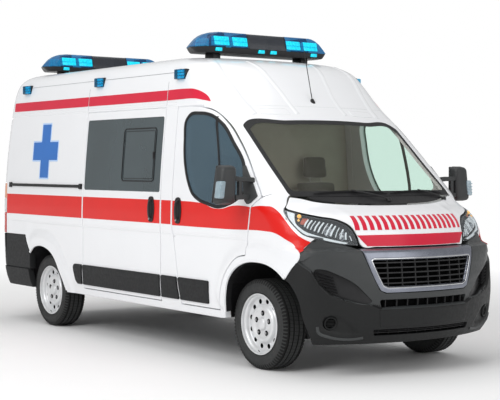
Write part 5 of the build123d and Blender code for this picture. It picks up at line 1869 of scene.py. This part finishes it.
BAR_TABLE = np.array([        # height, half, tip, front, back
    (2560, 634, 650, 26, 294), (2566, 640, 664, 20, 300), (2588, 648, 700, 8, 312),
    (2606, 655, 727, 1, 319), (2613, 655, 728, 1, 319), (2650, 628, 690, 10, 310),
    (2690, 596, 640, 20, 299), (2718, 560, 596, 30, 289), (2733, 528, 560, 38, 281),
    (2740, 500, 531, 48, 270)], float)


def bar_plan(height, shrink=0.0):
    """Outline of the light bar at one height: blunt pointed ends, rounded corners."""
    half, tip, ahead, behind = (np.interp(height, BAR_TABLE[:, 0], BAR_TABLE[:, k])
                                for k in (1, 2, 3, 4))
    middle = (ahead + behind) / 2 - 20
    half, tip, ahead, behind = half - shrink, tip - shrink * 1.5, ahead + shrink, behind - shrink
    return path([(-tip, middle, 14), (-half, ahead, 22), (half, ahead, 22), (tip, middle, 14),
                 (half, behind, 26), (-half, behind, 26)], 40)


BAR_POINTS = 120          # points round each ring of a light bar
BAR_STATIONS, BAR_DEPTH = (2100, 4925), 320


def bar_part(shape, station, low, high, shrink=0.0, cut=None):
    """Stack of plans between two heights; cut keeps only x within a range."""
    heights = [low] + [h for h in BAR_TABLE[:, 0] if low + 1 < h < high - 1] + [high]
    rings = []
    for height in heights:
        plan = bar_plan(height, shrink)
        if cut:
            plan = plan.copy()
            plan[:, 0] = np.clip(plan[:, 0], *cut)
        rings.append(np.column_stack([plan[:, 0], plan[:, 1] + station, np.full(len(plan), height)]))
    n = BAR_POINTS
    rings = [resample(r, n) for r in rings]
    faces = []
    for i in range(len(rings) - 1):
        faces += [(i * n + k, i * n + (k + 1) % n, (i + 1) * n + (k + 1) % n, (i + 1) * n + k)
                  for k in range(n)]
    top = (len(rings) - 1) * n
    faces += [tuple(range(n))[::-1], tuple(top + k for k in range(n))]
    shape.add(np.vstack(rings), faces)


def resample(ring, count):
    """Closed ring with evenly spread points, starting at its first point."""
    loop = np.vstack([ring, ring[:1]])
    t = np.concatenate([[0], np.cumsum(np.linalg.norm(np.diff(loop, axis=0), axis=1))])
    at_t = np.linspace(0, t[-1], count, endpoint=False)
    return np.column_stack([np.interp(at_t, t, loop[:, k]) for k in range(3)])


trays, domes, centres, lit = Shape(), Shape(), Shape(), Shape()
for station in BAR_STATIONS:
    bar_part(trays, station, 2560, 2606)
    for side in (-1, 1):
        trays.add(*block((side * 440, station + 92, 2470), (side * 520, station + 228, 2564), 10, 2))
        # blue domes over the lit modules, one on each side of the dark middle
        cut = (208, 760) if side > 0 else (-760, -208)
        bar_part(domes, station, 2609, 2740, 0, cut)
    bar_part(centres, station, 2608, 2738, 1.5, (-206, 206))
    for x in (-206, 206, -452, 452):
        bar_part(trays, station, 2606, 2739.5, -0.8, (x - 3, x + 3))
    for side in (-1, 1):
        for x in (292, 485):
            for way, face in ((1, station), (-1, station + BAR_DEPTH)):
                def along_dome(place, share, way=way, face=face):
                    near = share[1] < 0.5 if way > 0 else share[1] > 0.5
                    inwards = 1.5 + 19.5 * share[2] if near else 60
                    return (place[0], face + way * inwards, place[2])

                lit.add(*block((side * x - 82, station, 2621), (side * x + 82, station + 60, 2703),
                               9, 3, along_dome))
                lit.add(*block((side * x - 84, station, 2660), (side * x + 84, station + 60, 2664),
                               1, 1, along_dome), 1)
        for x in (66, 520):
            for way, face in ((1, station), (-1, station + BAR_DEPTH)):
                p = np.array((side * x, face + way * 7.0, 2587.0))
                lit.add(*block(p - (33, 10, 15), p + (33, 10, 15), 5, 2))
piece("light_bar_tray", trays, [BLACK], "van", ["light_bar_trays"], 30)
piece("light_bar_domes", domes, [BLUE_LENS], "van", ["light_bar_lenses"], 30)
piece("light_bar_middle", centres, [SMOKE_LENS], "van", (), 30)
piece("light_bar_modules", lit, [CYAN, DEEP_BLUE], "van", (), 30)

# ---------------------------------------------------------------- mirrors

head = Shape()
MX = (1141, 1343)
MIRROR_MIDDLE, MIRROR_LEAN = 1242, 46


def swell(place, share):
    """Mirror case: set in at its top outer corner, narrower at the front and the bottom."""
    x, s, z = place
    if share[1] < 0.5:
        x = MIRROR_MIDDLE + (x - MIRROR_MIDDLE) * 0.84
        z = 1432 + (z - 1432) * 0.9
    if share[2] < 0.5:
        x = MIRROR_MIDDLE + (x - MIRROR_MIDDLE) * 0.90
    elif share[0] > 0.5:
        x -= MIRROR_LEAN
    return (x, s, z)


def glass_in(place, share):
    """The panes follow the case's slanted outer edge."""
    return (place[0] - MIRROR_LEAN * share[0] * (place[2] - 1278) / 310, place[1], place[2])


head.add(*block((MX[0], 902, 1278), (MX[1], 1008, 1588), 34, 5, swell))
head.add(*block((MX[0] + 14, 1000, 1296), (MX[1] - 14, 1011, 1580), 5, 2, glass_in), 0)
glass = Shape()
glass.add(*block((MX[0] + 24, 1008, 1398), (MX[1] - 24, 1013, 1570), 2, 1, glass_in))
glass.add(*block((MX[0] + 24, 1008, 1308), (MX[1] - 24, 1013, 1384), 2, 1, glass_in))
indicator = Shape()
indicator.add(*block((MX[1] - 62, 892, 1330), (MX[1] - 8, 962, 1462), 12, 3,
                     lambda place, share: (place[0] - 16 * share[2], place[1], place[2])))
for z in (1356, 1382, 1408, 1434):
    indicator.add(*block((MX[1] - 56, 889, z - 5), (MX[1] - 16, 900, z + 5), 2, 1))
arms = Shape()
for z, tilt in ((1475, 6), (1340, -4)):
    line = smooth_line([(985, 937, z - tilt), (1040, 936, z), (1100, 935, z),
                        (1160, 940, z + tilt)], 14)
    n = len(line)
    arms.add(*sweep(line, np.tile([0.0, 1, 0], (n, 1)), np.tile([0.0, 0, 1], (n, 1)),
                    [(-20, -14), (-15, -19), (15, -19), (20, -14), (20, 14), (15, 19),
                     (-15, 19), (-20, 14)]))
arms.add(*block((1096, 917, 1345), (1132, 954, 1470), 9, 2))
sail = path([(846, 1344, 12), (905, 1420), (1000, 1526), (1052, 1584, 6), (1068, 1574, 6),
             (1030, 1484), (1006, 1392), (992, 1312, 24), (956, 1282, 24), (910, 1296, 14)], 16)
panel(arms, flank, [sail], -13, 3, 2, 20, hold=1)
both("mirror_case", head, [MIRROR_CASE], DOORS, ("mirror_left", "mirror_right"))
both("mirror_arms", arms, [MIRROR_CASE], DOORS)
both("mirror_panes", glass, [MIRROR], DOORS)
both("mirror_indicator", indicator, [LENS_TINT], DOORS)

# ---------------------------------------------------------------- wipers

wipers = Shape()


def over_screen(x, z, out):
    return put(front, [(at_one(u_of_x, x, z), z)], -out)[0]


for start, pivot, height in ((-640, -330, 1366), (60, 372, 1360)):
    blade = [over_screen(x, z, 5) for x, z in zip(np.linspace(start, start + 660, 20),
                                                 1368 + 14 * np.sin(np.linspace(0, pi, 20)))]
    wipers.add(*tube(blade, 3.6, 6))
    spine = [p + (0, -5, 7) for p in blade[1:-1]]
    wipers.add(*tube(spine, 3.0, 6))
    middle = np.array(blade[9]) + (0, -6, 8)
    base = over_screen(pivot + 330, 1318, -2)
    arm = smooth_line([base, base + (-40, -6, 14), (middle + base) / 2 + (0, -14, 10),
                       middle + (10, -6, 2)], 14)
    wipers.add(*tube(arm, 6.5, 8))
    wipers.add(*lathe([(-10, 0), (-10, 20), (8, 20), (14, 14), (14, 0)], base, "z", 20))
piece("wiper_set", wipers, [BLACK], "van", ["wipers"], 45)

# ---------------------------------------------------------------- cab and load space


def swelled(thing, pressure=4.0, cap=0.014, voxel=0.014):
    """The pad's cover blown up by cloth simulation from a slightly smaller shape."""
    scene = bpy.context.scene
    remesh = thing.modifiers.new("even", "REMESH")
    remesh.mode, remesh.voxel_size = "VOXEL", voxel
    scene.frame_set(1)
    ready = thing.evaluated_get(bpy.context.evaluated_depsgraph_get())
    even = bpy.data.meshes.new_from_object(ready)
    thing.modifiers.clear()
    thing.data = even
    start = np.zeros(len(even.vertices) * 3)
    even.vertices.foreach_get("co", start)
    cover = thing.modifiers.new("cover", "CLOTH")
    cover.settings.use_pressure = True
    cover.settings.uniform_pressure_force = pressure
    cover.settings.effector_weights.gravity = 0
    for frame_number in range(1, 21):
        scene.frame_set(frame_number)
    ready = thing.evaluated_get(bpy.context.evaluated_depsgraph_get())
    moved = np.zeros(len(even.vertices) * 3)
    ready.data.vertices.foreach_get("co", moved)
    thing.modifiers.clear()
    scene.frame_set(1)
    step = (moved - start).reshape(-1, 3)
    size = np.linalg.norm(step, axis=1)[:, None]
    step *= np.minimum(1, cap / np.maximum(size, 1e-9))
    even.vertices.foreach_set("co", (start.reshape(-1, 3) + step).ravel())
    return even


def pad(name, shape, channels, body="van"):
    """Padded seat piece: swelled cover, sewn channels pressed in, one subdivision."""
    points = (np.vstack(shape.points) - (0, LENGTH / 2, 0)) / 1000
    mesh = bpy.data.meshes.new(name)
    mesh.from_pydata(points.tolist(), [], shape.faces)
    thing = bpy.data.objects.new(name, mesh)
    bpy.context.scene.collection.objects.link(thing)
    cover = swelled(thing)
    co = np.zeros(len(cover.vertices) * 3)
    cover.vertices.foreach_get("co", co)
    co = co.reshape(-1, 3)
    no = np.zeros(len(cover.vertices) * 3)
    cover.vertices.foreach_get("normal", no)
    co -= no.reshape(-1, 3) * channels(co)[:, None]
    cover.vertices.foreach_set("co", co.ravel())
    finer = thing.modifiers.new("finer", "SUBSURF")
    finer.levels = finer.render_levels = 1
    ready = thing.evaluated_get(bpy.context.evaluated_depsgraph_get())
    final = bpy.data.meshes.new_from_object(ready)
    thing.modifiers.clear()
    thing.data = final
    final.materials.clear()
    final.materials.append(SEAT_CLOTH)
    final.polygons.foreach_set("use_smooth", [True] * len(final.polygons))
    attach(thing, body)
    return thing


def leaned(low, high, lean, pinch=0.0, radius=38):
    """Rounded block whose top leans back by a distance."""
    low, high = np.array(low, float), np.array(high, float)
    middle = (low + high) / 2

    def place(p, share):
        x = middle[0] + (p[0] - middle[0]) * (1 - pinch * share[2])
        return (x, p[1] + lean * share[2], p[2])

    return Shape().add(*block(low, high, radius, 4, place))


SEAT_X = 480              # seats, steering wheel and instruments from the middle
for side, name in ((1, "driver"), (-1, "passenger")):
    middle_x = side * SEAT_X

    def grooves(co, middle_x=middle_x):
        """Two sewn lines run up the pad inside its bolsters."""
        across_ = np.abs(np.abs(co[:, 0] * 1000 - middle_x) - 148)
        return 0.006 * np.exp(-(across_ / 7) ** 2)

    def plain(co):
        return np.zeros(len(co))

    base = leaned((middle_x - 228, 1494, 712), (middle_x + 228, 2000, 866), 0)
    backrest = leaned((middle_x - 226, 1908, 830), (middle_x + 226, 2030, 1450), 52, 0.14)
    rest = leaned((middle_x - 128, 1990, 1478), (middle_x + 128, 2066, 1664), 14, 0.12, 30)
    pad(f"{name}_seat_cushion", base, grooves)
    pad(f"{name}_seat_back", backrest, grooves)
    pad(f"{name}_head_restraint", rest, plain)
    frame_ = Shape()
    frame_.add(*block((middle_x - 215, 1525, 566), (middle_x + 215, 1990, 706), 16, 2))
    frame_.add(*block((middle_x - 238, 1960, 690), (middle_x - 224, 2074, 900), 6, 2))
    frame_.add(*block((middle_x + 224, 1960, 690), (middle_x + 238, 2074, 900), 6, 2))
    for dx in (-62, 62):
        frame_.add(*tube([(middle_x + dx, 2016, 1400), (middle_x + dx, 2022, 1450),
                          (middle_x + dx, 2030, 1530)], 6, 10), 1)
    piece(f"{name}_seat_base", frame_, [CAB_TRIM, BARE_STEEL], "van", ())
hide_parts("seats")

# steering wheel: padded rim, three spokes with a hub pad
wheel = Shape()
TILT, WHEEL_R = radians(52), 195
WHEEL_MIDDLE = np.array((SEAT_X, 1240.0, 1190.0))
up_column = np.array((0, cos(TILT), sin(TILT)))
flat_y = np.array((0, sin(TILT), -cos(TILT)))


def on_wheel(a, b, h=0.0):
    return WHEEL_MIDDLE + np.array((1.0, 0, 0)) * a + flat_y * b + up_column * h


angles = np.linspace(0, 2 * pi, 65)[:-1]
rim_points = np.array([on_wheel(WHEEL_R * cos(a), WHEEL_R * sin(a)) for a in angles])
inward = np.array([on_wheel(cos(a), sin(a)) - WHEEL_MIDDLE for a in angles])
section = [(15 * cos(t) * (1.06 if sin(t) > 0 else 1), 13.5 * sin(t))
           for t in np.linspace(0, 2 * pi, 13)[:-1]]
wheel.add(*sweep(rim_points, inward, np.tile(up_column, (64, 1)), section, True))
for angle in (-90, 22, 158):
    a = radians(angle)
    way = np.array([on_wheel(cos(a), sin(a)) - WHEEL_MIDDLE])[0]
    side_way = np.cross(up_column, way)
    stations_ = np.linspace(48, 186, 9)
    centre = np.array([WHEEL_MIDDLE + way * r - up_column * (14 * (1 - r / 200)) for r in stations_])
    for split in (-1, 1):
        offset = side_way * split * 11
        wheel.add(*sweep(centre + offset, np.tile(side_way, (9, 1)), np.tile(up_column, (9, 1)),
                         [(-7, -4), (-5, -6), (5, -6), (7, -4), (7, 3), (4, 5), (-4, 5), (-7, 3)]))
hub = [(-26, 0), (-26, 52), (-10, 66), (4, 64), (12, 52), (16, 30), (17, 0)]
hub_points, hub_faces = lathe(hub, (0, 0, 0), "z", 32)
hub_points = np.array([on_wheel(p[0], p[1] * 0.86, p[2]) for p in hub_points])
wheel.add(hub_points, hub_faces)
piece("steering_wheel_rim", wheel, [CAB_TRIM], "steering_wheel", ["steering_wheel"], 50)

# dashboard details: hooded cluster, vents, centre stack and shelf
dash = Shape()
dash.add(*block((300, 980, 1236), (660, 1100, 1300), 22, 3,
                lambda p, share: (SEAT_X + (p[0] - SEAT_X) * (1 - 0.18 * share[2]),
                                  p[1] - 26 * (1 - share[2]), p[2])))
dash.add(*block((324, 1098, 1215), (636, 1104, 1286), 3, 2), 1)
for x in (-760, -180, 180, 770):
    dash.add(*block((x - 58, 1056, 1160), (x + 58, 1078, 1216), 7, 2))
    for k in range(4):
        dash.add(*block((x - 50, 1072, 1168 + k * 11), (x + 50, 1083, 1173 + k * 11), 1.5, 1), 1)
dash.add(*block((-136, 1050, 930), (136, 1100, 1150), 14, 2))
dash.add(*block((-108, 1096, 1046), (108, 1104, 1136), 4, 1), 1)
for k in range(3):
    dash.add(*lathe([(-4, 0), (-4, 19), (14, 17), (16, 0)], (-70 + k * 70, 1102, 990), "y", 24))
dash.add(*block((-720, 1056, 1020), (-260, 1076, 1130), 12, 2))
gear = smooth_line([(90, 1080, 950), (90, 1150, 990), (92, 1190, 1052)], 10)
dash.add(*tube(gear, 9, 10))
dash.add(*lathe([(-26, 0), (-24, 14), (-6, 22), (14, 20), (22, 10), (24, 0)],
                (92, 1194, 1062), "z", 20))
piece("dashboard_details", dash, [CAB_TRIM, BLACK], "van", ())

# linings: cab doors and the load space
lining = Shape()
panel(lining, flank, [grown(path([(1440, 560, 60), (1370, 720), (1230, 900, 60),
                                  (1110, 960, 40), (1090, 1150, 50), (1330, 1205), (1640, 1225),
                                  (1990, 1250, 40), (1985, 1060), (1880, 560, 60)]), -4)],
      WALL - 3, WALL + 18, 8, 60)
pocket = path([(1470, 600, 30), (1410, 800, 40), (1840, 800, 40), (1800, 600, 40)])
panel(lining, flank, [pocket], WALL + 10, WALL + 46, 10, 60)
rest_line = put(flank, [(s, 1010) for s in np.linspace(1330, 1830, 10)], WALL + 30)
lining.add(*tube(rest_line, 20, 12))
both("cab_door_lining", lining, [CAB_TRIM], DOORS)

cupboards = Shape()
start, stop, low, high, deep = 2260, 3900, 1560, 1960, 330
WALL_X, CUPBOARD_DOORS = 880, 4
cupboards.add(*block((WALL_X - deep, start, low), (WALL_X, stop, high), 14, 2))
width = (stop - start) / CUPBOARD_DOORS
for k in range(CUPBOARD_DOORS):
    a = start + width * k + 10
    cupboards.add(*block((WALL_X - deep - 10, a, low + 14),
                         (WALL_X - deep + 2, a + width - 20, high - 14), 6, 2), 1)
    cupboards.add(*block((WALL_X - deep - 18, a + 30, low + 22),
                         (WALL_X - deep - 8, a + 110, low + 34), 3, 1), 2)
piece("wall_cupboards", cupboards, [LINING, WHITE, BARE_STEEL], "van", ())

# ---------------------------------------------------------------- finishes for the plain solids

for node, material in (
        ("floor", FLOOR_VINYL), ("wheel_liners", LINER_BLACK), ("chassis", CHASSIS_BLACK),
        ("front_subframe", CHASSIS_BLACK), ("engine", CAST), ("rear_axle", CHASSIS_BLACK),
        ("dashboard", DASH_TOP), ("firewall", CHASSIS_BLACK), ("bulkhead", CAB_WARM),
        ("steering_column", CAB_TRIM), ("rear_hinges", BARE_STEEL), ("knuckle_left", CAST),
        ("knuckle_right", CAST)):
    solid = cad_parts[node]
    solid.data.materials.clear()
    solid.data.materials.append(material)
    solid.data.polygons.foreach_set("material_index", [0] * len(solid.data.polygons))

# ---------------------------------------------------------------- studio and camera

CAMERA_PLACE, CAMERA_LENS = (-6.8455, -9.9694, 1.5576), 94.12
camera = bpy.data.cameras.new("camera")
camera.lens = CAMERA_LENS
camera.sensor_width = 36
camera.clip_end = 100
eye = bpy.data.objects.new("camera", camera)
bpy.context.scene.collection.objects.link(eye)
AZIMUTH, DOWN, ROLL = radians(-35.4148), radians(1.3775), radians(0.2235)
ahead = Vector((-sin(AZIMUTH) * cos(DOWN), cos(AZIMUTH) * cos(DOWN), -sin(DOWN)))
to_right = ahead.cross(Vector((0, 0, 1))).normalized()
upward = to_right.cross(ahead)
facing = Matrix((to_right, upward, -ahead)).transposed() @ Matrix.Rotation(ROLL, 3, "Z")
eye.matrix_world = Matrix.Translation(CAMERA_PLACE) @ facing.to_4x4()
scene = bpy.context.scene
scene.camera = eye
scene.view_settings.view_transform = "Standard"

world = bpy.data.worlds.new("studio")
scene.world = world
world.use_nodes = True
sky = world.node_tree
soft = fed(sky, sky.nodes["Background"], {"Color": (1, 1, 1, 1), "Strength": 0.5})
seen = wired(sky, "ShaderNodeBackground", {"Color": (1, 1, 1, 1), "Strength": 1.0})
rays = wired(sky, "ShaderNodeLightPath")
fed(sky, sky.nodes["World Output"], {
    "Surface": blend(sky, rays.outputs["Is Camera Ray"], soft.outputs["Background"],
                     seen.outputs["Background"])})


def area_light(name, place, target, size, watts, colour=(1, 1, 1)):
    data = bpy.data.lights.new(name, "AREA")
    data.size, data.energy, data.color = size, watts, colour
    lamp = bpy.data.objects.new(name, data)
    lamp.location = place
    lamp.rotation_euler = (Vector(target) - Vector(place)).to_track_quat("-Z", "Y").to_euler()
    scene.collection.objects.link(lamp)


area_light("key", (-9, -4, 7), (-0.5, 0, 1.0), 6, 560)
area_light("fill", (2, -11, 5), (0, -2, 1.2), 7, 200)
area_light("top", (0, 1, 11), (0, 0, 1), 9, 300)

floor_material, tree, shader = new_material("studio_floor")
pale = spread(tree, noise(tree, 0.6, 3), 0, 1)
fed(tree, shader, {"Base Color": two_tone(tree, pale, (0.93, 0.93, 0.93), (0.95, 0.95, 0.95)),
                   "Roughness": 0.8})
# the floor brightens to white away from the vehicle
length = wired(tree, "ShaderNodeVectorMath", {0: object_place(tree)}, operation="LENGTH")
far_off = spread(tree, length.outputs["Value"], 0, 1, 3.2, 9.0)
bright = wired(tree, "ShaderNodeEmission", {"Color": (1, 1, 1, 1)})
fed(tree, tree.nodes["Material Output"], {
    "Surface": blend(tree, far_off, shader.outputs["BSDF"], bright.outputs["Emission"])})
floor_mesh = bpy.data.meshes.new("studio_floor")
floor_mesh.from_pydata([(-60, -60, 0), (60, -60, 0), (60, 60, 0), (-60, 60, 0)], [], [(0, 1, 2, 3)])
floor_mesh.materials.append(floor_material)
ground = bpy.data.objects.new("studio_floor", floor_mesh)
scene.collection.objects.link(ground)
